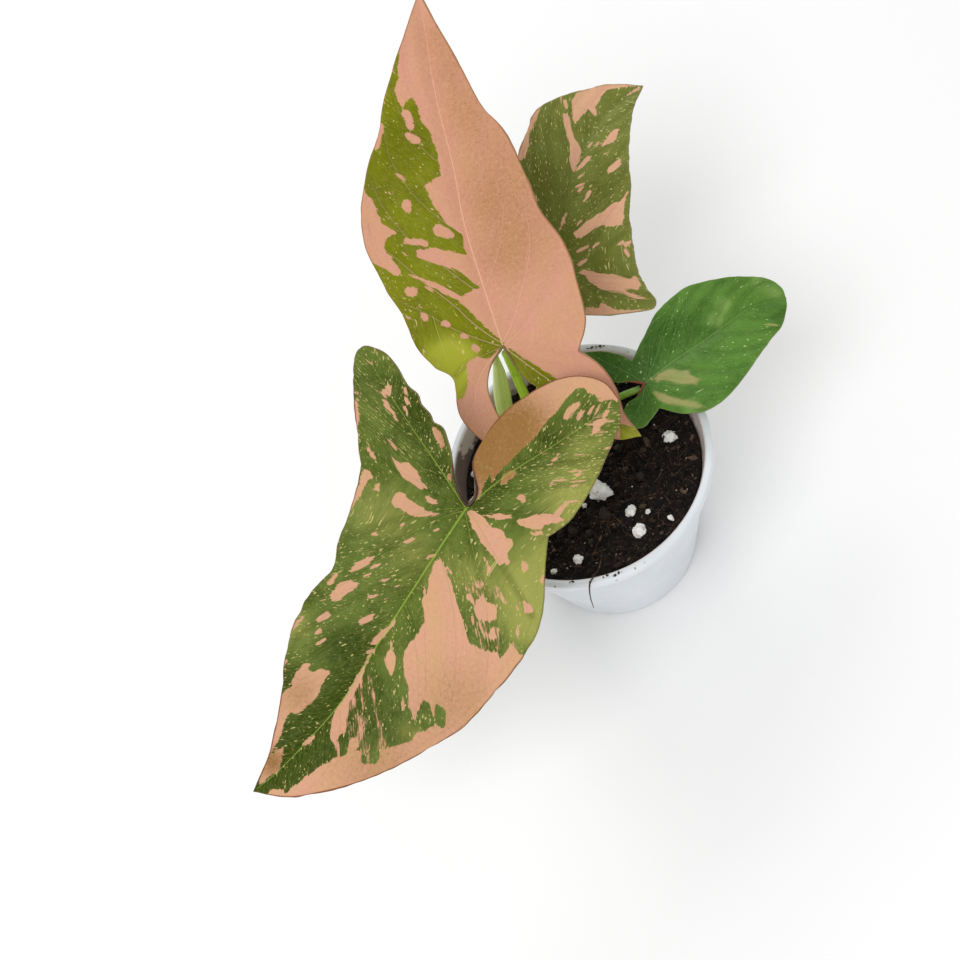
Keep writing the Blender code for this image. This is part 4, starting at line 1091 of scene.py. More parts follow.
def line_distance(points: np.ndarray, line: list) -> np.ndarray:
    """The distance from each flat point to a broken line."""
    nearest = np.full(len(points), FAR)
    for start, end in zip(line, line[1:]):
        nearest = np.minimum(nearest, drop_onto(points, start, end)[1])
    return nearest


def inside_depth(points: np.ndarray, outline: tuple) -> np.ndarray:
    """How deep each flat point lies inside a closed outline, below zero outside it."""
    ring = [*outline, outline[0]]
    crossings = np.zeros(len(points), int)
    for (ax, ay), (bx, by) in zip(ring, ring[1:]):
        spans = (points[:, 1] < ay) != (points[:, 1] < by)
        rise = by - ay if by != ay else SMALL
        side = ax + (points[:, 1] - ay) * (bx - ax) / rise
        crossings += spans & (points[:, 0] < side)
    return np.where(crossings % 2 == 1, 1.0, -1.0) * line_distance(points, ring)


def streak_depth(points: np.ndarray, streak: Streak) -> np.ndarray:
    """How deep each flat point lies inside a tapered streak."""
    part, away = drop_onto(points, streak.start, streak.end)
    return streak.wide + (streak.narrow - streak.wide) * part - away


def store(mesh: bpy.types.Mesh, name: str, values: np.ndarray) -> None:
    """Store one number, or one vector, for each vertex of a mesh."""
    vector = values.ndim == 2
    layer = mesh.attributes.new(name, "FLOAT_VECTOR" if vector else "FLOAT", "POINT")
    layer.data.foreach_set("vector" if vector else "value", values.astype(np.float32).ravel())


def stored(mesh: bpy.types.Mesh, name: str) -> np.ndarray:
    """Read back the vectors stored for the vertices of a mesh."""
    values = np.zeros(len(mesh.vertices) * 3, np.float32)
    mesh.attributes[name].data.foreach_get("vector", values)
    return values.reshape(-1, 3)


def add_piece(name: str, bm: bmesh.types.BMesh, materials: list,
              sharp: float | None = None) -> bpy.types.Object:
    """Turn a finished bmesh into a smooth-shaded object at the origin.

    Args:
        name: the object's name.
        bm: the shape, which is freed.
        materials: its materials, in slot order.
        sharp: the angle in degrees past which an edge stays sharp, if any.

    Returns:
        The new object.
    """
    if sharp is not None:
        for edge in bm.edges:
            edge.smooth = not (edge.is_manifold and edge.calc_face_angle(0.0) > radians(sharp))
    mesh = bpy.data.meshes.new(name)
    bm.to_mesh(mesh)
    bm.free()
    if sharp is None:
        mesh.shade_smooth()
    else:
        mesh.polygons.foreach_set("use_smooth", [True] * len(mesh.polygons))
    for material in materials:
        mesh.materials.append(material)
    piece = bpy.data.objects.new(name, mesh)
    bpy.context.scene.collection.objects.link(piece)
    return piece


def settle(piece: bpy.types.Object, slot: str, *nodes: str) -> bpy.types.Object:
    """Ride a piece on the plant, and hide the solids that it stands for."""
    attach(piece, "root")
    if nodes:
        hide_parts(*nodes)
    LOG.info("%s: %d faces", piece.name, len(piece.data.polygons))
    return piece


def add_strand(bm: bmesh.types.BMesh, points: tuple, radii: tuple, steps: int = 14,
               around: int = 5) -> None:
    """Wrap a grid into a thin strand.

    Args:
        bm: where it is added.
        points: what it runs through, in millimetres.
        radii: its radii at even steps along it.
        steps: how many steps it has along it.
        around: how many it has around it.
    """
    grid = bmesh.ops.create_grid(bm, x_segments=steps, y_segments=around, size=0.5)
    for vert in grid["verts"]:
        part, angle = vert.co.x + 0.5, (vert.co.y + 0.5) * tau
        ahead = smooth_point(points, part + 0.02) - smooth_point(points, part - 0.02)
        side = ahead.cross(Vector((0.1, 0.2, 1))).normalized()
        over = ahead.normalized().cross(side)
        spread = side * cos(angle) + over * sin(angle)
        vert.co = (smooth_point(points, part) + spread * eased(radii, part)) * MM


def close_strands(bm: bmesh.types.BMesh, weld: float = 0.002) -> None:
    """Join the seams of all strands, within a weld distance in millimetres, and cap them."""
    bmesh.ops.remove_doubles(bm, verts=bm.verts, dist=weld * MM)
    bmesh.ops.holes_fill(bm, edges=[edge for edge in bm.edges if edge.is_boundary])
    bmesh.ops.recalc_face_normals(bm, faces=bm.faces)


def turn_section(section: list, steps: int) -> bmesh.types.BMesh:
    """Turn a section of (radius, height) points in millimetres once round the pot's axis."""
    bm = bmesh.new()
    verts = [bm.verts.new((x * MM, 0.0, z * MM)) for x, z in section]
    edges = [bm.edges.new(pair) for pair in zip(verts, verts[1:])]
    bmesh.ops.spin(bm, geom=verts + edges, cent=(0, 0, 0), axis=(0, 0, 1), angle=tau,
                   steps=steps, use_merge=True)
    bmesh.ops.remove_doubles(bm, verts=bm.verts, dist=0.004 * MM)
    return bm


def look_up(mesh: bpy.types.Mesh, up: bool = True) -> None:
    """Turn all the faces of a sheet so that they look up, or down."""
    if (sum(face.normal.z * face.area for face in mesh.polygons) < 0) is up:
        mesh.flip_normals()


# Blades.


@dataclass(frozen=True)
class Spot:
    """One point of a blade: where it lies flat, and how it is bent and lifted, in millimetres."""

    half: Half
    flat: Vector
    hinge: float
    lift: float
    along: float
    across: float


@dataclass(frozen=True)
class Vein:
    """A side vein between two stations: 0 is the stalk, 1 the tip and -1 the lobe's tip."""

    start: float
    end: float
    reach: float
    wide: float
    strength: float


SIDE_VEINS = (
    Vein(0.0, 0.2, 0.92, 0.13, 0.7), Vein(0.01, 0.4, 0.93, 0.14, 0.8),
    Vein(0.16, 0.52, 0.92, 0.12, 0.6), Vein(0.33, 0.65, 0.92, 0.11, 0.5),
    Vein(0.5, 0.77, 0.9, 0.1, 0.45), Vein(0.66, 0.88, 0.9, 0.09, 0.4),
    Vein(0.08, 0.45, 0.85, 0.06, 0.25), Vein(0.25, 0.58, 0.85, 0.06, 0.25),
    Vein(0.42, 0.71, 0.85, 0.06, 0.25), Vein(0.58, 0.83, 0.85, 0.05, 0.25),
    Vein(0.0, -0.14, 0.88, 0.1, 0.5), Vein(-0.14, -0.42, 0.9, 0.09, 0.42),
    Vein(-0.38, -0.64, 0.9, 0.08, 0.38), Vein(-0.6, -0.82, 0.85, 0.07, 0.3),
)
SINUS_VEINS = (Vein(-0.12, -0.34, 0.8, 0.07, 0.35), Vein(-0.34, -0.56, 0.85, 0.07, 0.35),
               Vein(-0.56, -0.76, 0.85, 0.06, 0.3))


def leaned(station: float, along: float) -> float:
    """Where on the midrib the vein through a point began, since veins lean forward."""
    return station - clamp(station / LEAN_REACH, -1.0, 1.0) * VEIN_LEAN * along


def vertex_layers(bm: bmesh.types.BMesh) -> tuple:
    """The layers of each vertex's flat place, and of its place along and across the veins."""
    layers = bm.verts.layers.float_vector
    return layers["flat"], layers["flow"]


class Side(Enum):
    """Which sheet of a half a point lies on."""

    OUTER = 1
    SINUS = -1


@dataclass(frozen=True)
class Blade:
    """A finely modelled blade with its pattern, and the veins on both its faces."""

    leaf: Leaf
    fineness: int = 10
    vein_steps: int = 34
    ridge_height: float = 0.1
    under_ridge: float = 0.42
    vein_end: float = 0.985
    lobe_vein_end: float = 0.96
    rim_vein: float = 0.93
    vein_shift: float = 0.015
    vein_curve: float = 1.2
    vein_taper: float = 0.75
    under_widening: float = 2.4
    main_strength: float = 0.8
    tinted_strength: float = 0.3
    outline_steps: int = 40
    weld: float = 0.012
    notch_rows: tuple = tuple(0.72 + 0.04 * step for step in range(8))
    notch_radii: tuple = (0.08, 0.2, 0.36, 0.36, 0.2, 0.08)

    def sign(self, half: Half) -> float:
        """1 for the right half and -1 for the left."""
        return 1.0 if half is self.leaf.right else -1.0

    def place(self, spot: Spot, sideways: Vector | None = None, lift: float = 0.0) -> Vector:
        """Where a spot of the flat blade stands in the world, in metres.

        Args:
            spot: the spot.
            sideways: a flat step away from it.
            lift: how far it is raised further, in millimetres.

        Returns:
            The place.
        """
        leaf, half = self.leaf, spot.half
        flat = spot.flat if sideways is None else spot.flat + sideways
        ahead, behind = max(flat.y, 0.0), max(-flat.y, 0.0)
        rise = radians(leaf.rise)
        droop = radians(leaf.droop) / leaf.length
        lobe_droop = radians(half.lobe_droop) / LOBE_SPAN
        forward, climb = arc(rise, droop, ahead)
        backward, sink = arc(-rise, lobe_droop, behind)
        slope = rise - droop * ahead + lobe_droop * behind
        sign = self.sign(half)
        folded, up = arc(radians(half.fold), radians(half.curl) / LOBE_SPAN,
                         sign * (flat.x - spot.hinge))
        across = spot.hinge + sign * folded
        up += spot.lift + lift
        roll = radians(leaf.roll)
        side = across * cos(roll) + up * sin(roll)
        height = up * cos(roll) - across * sin(roll)
        turn = radians(leaf.heading)
        ahead_axis = Vector((cos(turn), sin(turn), 0))
        side_axis = Vector((sin(turn), -cos(turn), 0))
        up_axis = Vector((0, 0, 1))
        normal = up_axis * cos(slope) - ahead_axis * sin(slope)
        return (Vector(leaf.junction) + ahead_axis * (forward - backward)
                + up_axis * (climb + sink) + side_axis * side + normal * height) * MM

    def ragged(self, inner: Vector, outer: Vector, row: float) -> Vector:
        """The outer end of a row, with the margin's small unevenness."""
        reach = outer - inner
        waver = noise.noise(Vector((row * 0.8, self.leaf.length, 0.0)))
        waver += 0.5 * noise.noise(Vector((row * 2.3, self.leaf.length, 4.0)))
        uneven = self.leaf.unevenness * waver * clamp(reach.length / UNEVEN_REACH, 0.0, 1.0)
        return outer + reach.normalized() * uneven

    def row_of(self, station: float) -> float:
        """The row at a station."""
        if station < 0:
            return self.leaf.lobe_rows * (1 + station)
        return self.leaf.lobe_rows + self.leaf.rows * station

    def outer_spot(self, half: Half, row: float, out: float) -> Spot:
        """A spot between the midrib or lobe vein and the outer margin."""
        leaf = self.leaf
        if row <= leaf.lobe_rows:
            part = row / leaf.lobe_rows
            inner, outer = smooth_point(half.lobe_vein, part), smooth_point(half.lobe_margin, part)
            station = (part - 1) * path_length(half.lobe_vein)
            hinge = 0.0
        else:
            part = (row - leaf.lobe_rows) / leaf.rows
            inner, outer = smooth_point(leaf.midrib, part), smooth_point(half.margin, part)
            station = part * path_length(leaf.midrib)
            hinge = inner.x
        width = (outer - inner).length
        outer = self.ragged(inner, outer, self.sign(half) * 50 + row)
        turns = half.wave_count * row / (leaf.lobe_rows + leaf.rows) + half.wave_phase
        lift = half.wave * sin(tau * turns) * min(1.0, width / WAVE_REACH) * out**2
        along = width * out
        return Spot(half, inner.lerp(outer, out), hinge, lift, self.sign(half) * along,
                    leaned(station, along))

    def sinus_spot(self, half: Half, row: float, out: float) -> Spot:
        """A spot between the lobe vein and the edge of the sinus."""
        part = row / self.leaf.lobe_rows
        inner, outer = smooth_point(half.lobe_vein, part), smooth_point(half.sinus, part)
        outer = self.ragged(inner, outer, self.sign(half) * 80 + row)
        station = (part - 1) * path_length(half.lobe_vein)
        lift = half.sinus_lift * sin(pi * part) * out**2
        along = (outer - inner).length * out
        return Spot(half, inner.lerp(outer, out), 0.0, lift, -self.sign(half) * along,
                    leaned(station, along))

    def spot(self, half: Half, side: Side, row: float, out: float) -> Spot:
        """A spot of either sheet."""
        if side is Side.OUTER:
            return self.outer_spot(half, row, out)
        return self.sinus_spot(half, row, out)

    def vein_lines(self) -> list[tuple[list[Spot], float, float]]:
        """Every vein as its spots, its half width at the root and its strength."""
        leaf = self.leaf
        steps = [index / self.vein_steps for index in range(self.vein_steps + 1)]
        total = leaf.lobe_rows + leaf.rows
        main = [self.outer_spot(leaf.right, leaf.lobe_rows + leaf.rows * part * self.vein_end, 0.0)
                for part in steps]
        lines = [(main, leaf.midrib_width, 1.0)]
        for half in (leaf.left, leaf.right):
            lobe = [self.outer_spot(half, leaf.lobe_rows * (1 - part * self.lobe_vein_end), 0.0)
                    for part in steps]
            lines.append((lobe, leaf.midrib_width * 0.75, 0.85))
            rim = [self.outer_spot(half, total * (0.02 + 0.95 * part), self.rim_vein)
                   for part in steps]
            lines.append((rim, 0.06, 0.25))
            for side, veins in ((Side.OUTER, SIDE_VEINS), (Side.SINUS, SINUS_VEINS)):
                for vein in veins:
                    line = self.side_line(half, side, vein, steps)
                    lines.append((line, vein.wide, vein.strength))
        return lines

    def side_line(self, half: Half, side: Side, vein: Vein, steps: list) -> list[Spot]:
        """The spots of one side vein, which leans further forward as it runs out."""
        shift = self.vein_shift * self.sign(half) * sin(40 * vein.start + 1)
        ends = (vein.start + (shift if abs(vein.start) > 0.05 else 0.0), vein.end + shift)
        line = []
        for part in steps:
            station = ends[0] + (ends[1] - ends[0]) * part**self.vein_curve
            line.append(self.spot(half, side, self.row_of(station), vein.reach * part))
        return line

    def quilt(self, flats: np.ndarray, lines: list) -> np.ndarray:
        """How far the blade sinks beside its veins, in millimetres."""
        depth = np.zeros(len(flats))
        for line, _, strength in lines:
            away = line_distance(flats, [spot.flat for spot in line])
            depth = np.maximum(depth, strength * np.exp(-((away / QUILT_REACH) ** 2)))
        return -QUILT_DEPTH * depth

    def add_sheet(self, bm: bmesh.types.BMesh, half: Half, side: Side, lines: list) -> None:
        """Add one waved and quilted sheet of the blade."""
        leaf = self.leaf
        rows = leaf.lobe_rows + (leaf.rows if side is Side.OUTER else 0)
        columns = leaf.columns if side is Side.OUTER else leaf.lobe_columns
        grid = bmesh.ops.create_grid(bm, x_segments=rows * self.fineness,
                                     y_segments=columns * self.fineness, size=0.5)
        verts = grid["verts"]
        spots = [self.spot(half, side, (vert.co.x + 0.5) * rows, vert.co.y + 0.5)
                 for vert in verts]
        flats = np.array([spot.flat for spot in spots])
        flat_layer, flow_layer = vertex_layers(bm)
        for vert, spot, sink in zip(verts, spots, self.quilt(flats, lines)):
            vert.co = self.place(spot, lift=float(sink))
            vert[flat_layer] = (spot.flat.x, spot.flat.y, 0.0)
            vert[flow_layer] = (spot.along, spot.across, 0.0)

    def outline(self) -> list[Vector]:
        """The blade's whole edge in flat millimetres."""
        ring = []
        for half, back in ((self.leaf.left, False), (self.leaf.right, True)):
            edge = [smooth_point(curve, index / self.outline_steps)
                    for curve in (half.sinus[::-1], half.lobe_margin, half.margin)
                    for index in range(self.outline_steps + 1)]
            ring += edge[::-1] if back else edge
        return ring

    def pink_depth(self, flats: np.ndarray) -> np.ndarray:
        """How deep each point lies inside the pink pattern."""
        depth = np.full(len(flats), 9.0 if self.leaf.pink else -9.0)
        for mark in self.leaf.marks:
            if isinstance(mark, Streak):
                depth = np.maximum(depth, streak_depth(flats, mark))
            elif mark.green:
                depth = np.minimum(depth, -inside_depth(flats, mark.outline))
            elif mark.mottled:
                inside = np.minimum(inside_depth(flats, mark.outline), MOTTLED_DEPTH)
                depth = np.maximum(depth, inside)
            else:
                depth = np.maximum(depth, inside_depth(flats, mark.outline))
        return depth

    def moods(self, flats: np.ndarray) -> np.ndarray:
        """The soft shades at each point, one column for each mood."""
        moods = np.zeros((len(flats), len(Mood)))
        for shade in self.leaf.shades:
            away = np.hypot(*(flats - np.array(shade.spot)).T)
            moods[:, shade.mood.value] += shade.amount * np.exp(-((away / shade.reach) ** 2))
        return moods

    def paint(self, mesh: bpy.types.Mesh, lines: list) -> None:
        """Store what the material reads, worked out from the flat place of each vertex."""
        flats = stored(mesh, "flat")[:, :2].astype(float)
        store(mesh, "pink", self.pink_depth(flats))
        moods = self.moods(flats)
        store(mesh, "mood", moods[:, :Mood.CROWD.value])
        store(mesh, "crowd", moods[:, Mood.CROWD.value])
        store(mesh, "edge", line_distance(flats, self.outline()))
        veins = np.full(len(flats), FAR)
        for line, _, strength in lines:
            if strength > self.tinted_strength:
                veins = np.minimum(veins, line_distance(flats, [spot.flat for spot in line]))
        store(mesh, "vein", veins)

    def new_shape(self) -> bmesh.types.BMesh:
        """An empty bmesh that can hold the flat place of each vertex."""
        bm = bmesh.new()
        bm.verts.layers.float_vector.new("flat")
        bm.verts.layers.float_vector.new("flow")
        return bm

    def add_ribbon(self, bm: bmesh.types.BMesh, line: list[Spot], wide: float, sink: np.ndarray,
                   under: bool, strength: float) -> None:
        """Add one vein as a low rounded ribbon on the blade's upper or lower face."""
        columns = 4 if under else 2
        grid = bmesh.ops.create_grid(bm, x_segments=len(line) - 1, y_segments=columns, size=0.5)
        flat_layer, flow_layer = vertex_layers(bm)
        spine = line[-1].along == 0.0 and line[-1].flat.y > 0.0
        for vert in grid["verts"]:
            index = round((vert.co.x + 0.5) * (len(line) - 1))
            aside = vert.co.y * 2
            spot = line[index]
            part = index / (len(line) - 1)
            width = wide * (1 - self.vein_taper * part) * (self.under_widening if under else 1.0)
            ahead = line[min(index + 1, len(line) - 1)].flat - line[max(index - 1, 0)].flat
            across = Vector((ahead.y, -ahead.x)).normalized() * width * aside
            if spine and across.x < 0:
                spot = Spot(self.leaf.left, spot.flat, spot.hinge, spot.lift, 0.0, spot.across)
            dome = 1 - aside**2
            if under:
                lift = -(self.under_ridge * (0.3 + width) * dome - 0.04) - BLADE_THICKNESS / MM
            else:
                lift = 0.02 + self.ridge_height * dome * (0.3 + 0.7 * strength) * (1 - part * 0.6)
            vert.co = self.place(spot, across, float(sink[index]) + lift)
            flat = spot.flat + across
            vert[flat_layer] = (flat.x, flat.y, 0.0)
            vert[flow_layer] = (spot.along, spot.across, 0.0)

    def build_veins(self, lines: list, under: bool) -> bpy.types.Object:
        """All the veins of one face as one piece."""
        bm = self.new_shape()
        tones = []
        for line, wide, strength in lines:
            sink = self.quilt(np.array([spot.flat for spot in line]), lines)
            before = len(bm.verts)
            self.add_ribbon(bm, line, wide, sink, under, strength)
            tone = self.leaf.vein_tone * strength
            tone *= 1.0 if strength > self.main_strength else self.leaf.side_tone
            tones += [tone] * (len(bm.verts) - before)
        face = "under" if under else "upper"
        piece = add_piece(f"{self.leaf.name}_{face}_veins", bm, [self.leaf.finish.material(under)])
        look_up(piece.data, not under)
        self.paint(piece.data, lines)
        store(piece.data, "ridge", np.array(tones))
        return settle(piece, "leaf")

    def build_notch_edge(self) -> bpy.types.Object:
        """The thick dark edge of the notch, on both sides of the stalk."""
        leaf = self.leaf
        rows = [leaf.lobe_rows * part for part in self.notch_rows]
        spots = [self.sinus_spot(leaf.right, row, 1.0) for row in rows[:-1]]
        spots += [self.sinus_spot(leaf.left, row, 1.0) for row in rows[::-1]]
        points = tuple(tuple(self.place(spot, lift=-0.3) / MM) for spot in spots)
        bm = bmesh.new()
        add_strand(bm, points, self.notch_radii, steps=60, around=10)
        close_strands(bm)
        finish = StalkFinish(f"{leaf.name}_edge", *[leaf.edge_colour] * 4)
        return settle(add_piece(f"{leaf.name}_notch_edge", bm, [finish.material()]), "leaf")

    def build(self) -> None:
        """Build the blade and its veins."""
        leaf = self.leaf
        lines = self.vein_lines()
        bm = self.new_shape()
        for half in (leaf.left, leaf.right):
            for side in Side:
                self.add_sheet(bm, half, side, lines)
        bmesh.ops.remove_doubles(bm, verts=bm.verts, dist=self.weld * MM)
        bmesh.ops.recalc_face_normals(bm, faces=bm.faces)
        materials = [leaf.finish.material(), leaf.finish.material(underside=True)]
        blade = add_piece(f"{leaf.name}_skin", bm, materials)
        look_up(blade.data)
        self.paint(blade.data, lines)
        shell = blade.modifiers.new("Thickness", "SOLIDIFY")
        shell.thickness = BLADE_THICKNESS
        shell.offset = -1.0
        shell.material_offset = 1
        shell.material_offset_rim = 1
        settle(blade, "leaf", f"{leaf.name}_blade")
        self.build_veins(lines, under=False)
        self.build_veins(lines, under=True)
        self.build_notch_edge()


# Stalks.


@dataclass(frozen=True)
class Stalk:
    """A leaf stalk: round behind, grooved in front, with the sheath's two edges low down."""

    name: str
    path: tuple
    radii: tuple
    heading: float
    finish: StalkFinish
    steps: int = 70
    around: int = 28
    groove: float = 0.16
    groove_width: float = 0.5
    sheath: float = 0.26
    sheath_angle: float = 0.75
    sheath_width: float = 0.2
    sheath_end: float = 0.62
    sheath_fade: float = 6
    collar: float = 1.5

    def section(self, angle: float, part: float) -> float:
        """The radius at an angle, as a part of the plain radius. The front is at angle 0."""
        turned = (angle + pi) % tau - pi
        front = exp(-((turned / self.groove_width) ** 2))
        edges = exp(-(((abs(turned) - self.sheath_angle) / self.sheath_width) ** 2))
        fade = clamp((self.sheath_end - part) * self.sheath_fade, 0.0, 1.0)
        return 1.0 - self.groove * front + self.sheath * edges * fade

    def centre(self, part: float) -> Vector:
        """The middle of the stalk at a part of its length, in millimetres."""
        x, y, _ = self.path[0]
        return smooth_point(((x, y, SOIL_TOP - STEM_DEPTH + 1.0), *self.path[1:]), part)

    def add_tube(self, bm: bmesh.types.BMesh) -> None:
        """Wrap a grid round the path and close it."""
        grow = bm.verts.layers.float_vector.new("grow")
        grid = bmesh.ops.create_grid(bm, x_segments=self.steps, y_segments=self.around, size=0.5)
        turn = radians(self.heading)
        reference = Vector((sin(turn), -cos(turn), 0))
        length = path_length(self.path[1:]) + STEM_DEPTH
        for vert in grid["verts"]:
            part = vert.co.x + 0.5
            angle = (vert.co.y + 0.5) * tau
            centre = self.centre(part)
            ahead = (self.centre(part + 0.01) - self.centre(part - 0.01)).normalized()
            side = (reference - ahead * reference.dot(ahead)).normalized()
            front = ahead.cross(side) * -1
            radius = eased(self.radii, part) * self.section(angle, part)
            around = front * cos(angle) + side * sin(angle)
            vert.co = (centre + around * radius) * MM
            vert[grow] = (cos(angle) * 2, sin(angle) * 2, part * length)
        close_strands(bm, weld=0.01)

    def build(self, node: str) -> bpy.types.Object:
        """Build the stalk in place of a solid."""
        bm = bmesh.new()
        self.add_tube(bm)
        piece = add_piece(self.name, bm, [self.finish.material()], sharp=50)
        parts = stored(piece.data, "grow")[:, 2]
        store(piece.data, "ends", (parts - parts.max() + self.collar) / self.collar)
        return settle(piece, "stalk", node)


@dataclass(frozen=True)
class RolledLeaf(Stalk):
    """A new leaf still rolled up: its edge makes a ledge that winds slowly round it."""

    ledge: float = 0.17
    winding: float = 2.2
    ledge_start: float = 0.955

    def section(self, angle: float, part: float) -> float:
        """The radius shrinks once round the roll, then steps back out at the rolled edge."""
        turn = ((angle - self.winding * part) % tau) / tau
        start = self.ledge_start
        step = clamp((turn - start) / (1 - start), 0.0, 1.0)
        return 1.0 - self.ledge * (turn if turn < start else start * (1 - step))


# Pot, soil and what lies in it.


def wall_radius(height: float) -> float:
    """The outer radius of the pot's plain wall at a height, in millimetres."""
    under_lip = POT_RIM_RADIUS - LIP_WIDTH + POT_WALL
    return POT_BASE_RADIUS + (under_lip - POT_BASE_RADIUS) * height / POT_HEIGHT


def soil_reach() -> float:
    """The radius of the soil's top, in millimetres."""
    return wall_radius(SOIL_TOP) - POT_WALL - 0.35


def soil_height(x: float, y: float) -> float:
    """The soil's uneven top, settling to an even line at the pot's wall, in millimetres."""
    spot = Vector((x, y, 0.0)) / SOIL_LUMP_SIZE
    rough = noise.noise(spot) + 0.5 * noise.noise(spot * 2.3)
    inward = 1.0 - hypot(x, y) / soil_reach()
    return SOIL_TOP + SOIL_ROUGHNESS * rough * clamp(3.0 * inward, 0.0, 1.0)


def crumbly_height(x: float, y: float) -> float:
    """The soil's top with its clods and crumbs, in millimetres."""
    spot = Vector((x, y, 3.0))
    clods = sum(noise.noise(spot * scale) * height for scale, height in CLODS)
    inward = 1.0 - hypot(x, y) / soil_reach()
    return soil_height(x, y) + clods * clamp(9.0 * inward, 0.2, 1.0)


def scattered(draw: random.Random, reach: float) -> tuple[float, float]:
    """A random place on the soil within a reach of its middle, in millimetres."""
    angle, away = draw.uniform(0, tau), reach * draw.random() ** 0.5
    return away * cos(angle), away * sin(angle)


@dataclass(frozen=True)
class Pot:
    """The thin moulded cup with its rolled lip and drain holes."""

    finish: PotFinish
    steps: int = 160
    drain_holes: int = 6
    drain_radius: float = 2.6
    drain_circle: float = 14.0
    lip_round: float = 0.75
    inner_round: float = 0.9

    def profile(self) -> list[tuple[float, float]]:
        """The section from the middle of the floor, up inside, over the lip and down outside."""
        inner = POT_RIM_RADIUS - LIP_WIDTH
        foot = POT_HEIGHT - LIP_HEIGHT
        rim, bend = self.lip_round, self.inner_round
        turns = [radians(step) for step in (0, 25, 50, 75, 90)]
        points = [(0.0, POT_FLOOR), (wall_radius(POT_FLOOR) - POT_WALL - 1.0, POT_FLOOR)]
        points += [(wall_radius(2.6) - POT_WALL, 2.6)]
        points += [(wall_radius(z) - POT_WALL, z) for z in (16, 30, 42, foot)]
        points += [(inner + bend - bend * cos(turn), POT_HEIGHT - bend + bend * sin(turn))
                   for turn in turns]
        points += [(POT_RIM_RADIUS - rim + rim * sin(turn), POT_HEIGHT - rim + rim * cos(turn))
                   for turn in turns]
        points += [(POT_RIM_RADIUS - 0.12, foot + 0.7), (POT_RIM_RADIUS - 0.3, foot + 0.15),
                   (POT_RIM_RADIUS - 0.7, foot), (wall_radius(foot) + 0.25, foot),
                   (wall_radius(foot - 0.4), foot - 0.4)]
        points += [(wall_radius(z), z) for z in (40, 28, 16, 6, 1.6)]
        points += [(wall_radius(0.9) - 0.08, 0.9), (wall_radius(0.4) - 0.3, 0.35),
                   (POT_BASE_RADIUS - 0.9, 0.0), (0.0, 0.0)]
        return points

    def build(self) -> bpy.types.Object:
        """Turn the section and drill the floor."""
        bm = turn_section(self.profile(), self.steps)
        bmesh.ops.recalc_face_normals(bm, faces=bm.faces)
        pot = add_piece("pot_cup", bm, [self.finish.material()], sharp=42)
        self.drill(pot)
        return settle(pot, "pot", "pot")

    def drill(self, pot: bpy.types.Object) -> None:
        """Cut the drain holes through the floor."""
        bm = bmesh.new()
        for index in range(self.drain_holes):
            angle = tau * index / self.drain_holes
            middle = Vector((cos(angle), sin(angle), 0)) * self.drain_circle * MM
            radius = self.drain_radius * MM
            hole = bmesh.ops.create_cone(bm, cap_ends=True, segments=28, depth=8 * MM,
                                         radius1=radius, radius2=radius)
            bmesh.ops.translate(bm, verts=hole["verts"], vec=middle)
        drills = add_piece("drain_drills", bm, [])
        cut = pot.modifiers.new("Drain holes", "BOOLEAN")
        cut.operation = "DIFFERENCE"
        cut.solver = "EXACT"
        cut.object = drills
        graph = bpy.context.evaluated_depsgraph_get()
        bored = bpy.data.meshes.new_from_object(pot.evaluated_get(graph))
        pot.modifiers.remove(cut)
        pot.data = bored
        bpy.data.objects.remove(drills, do_unlink=True)


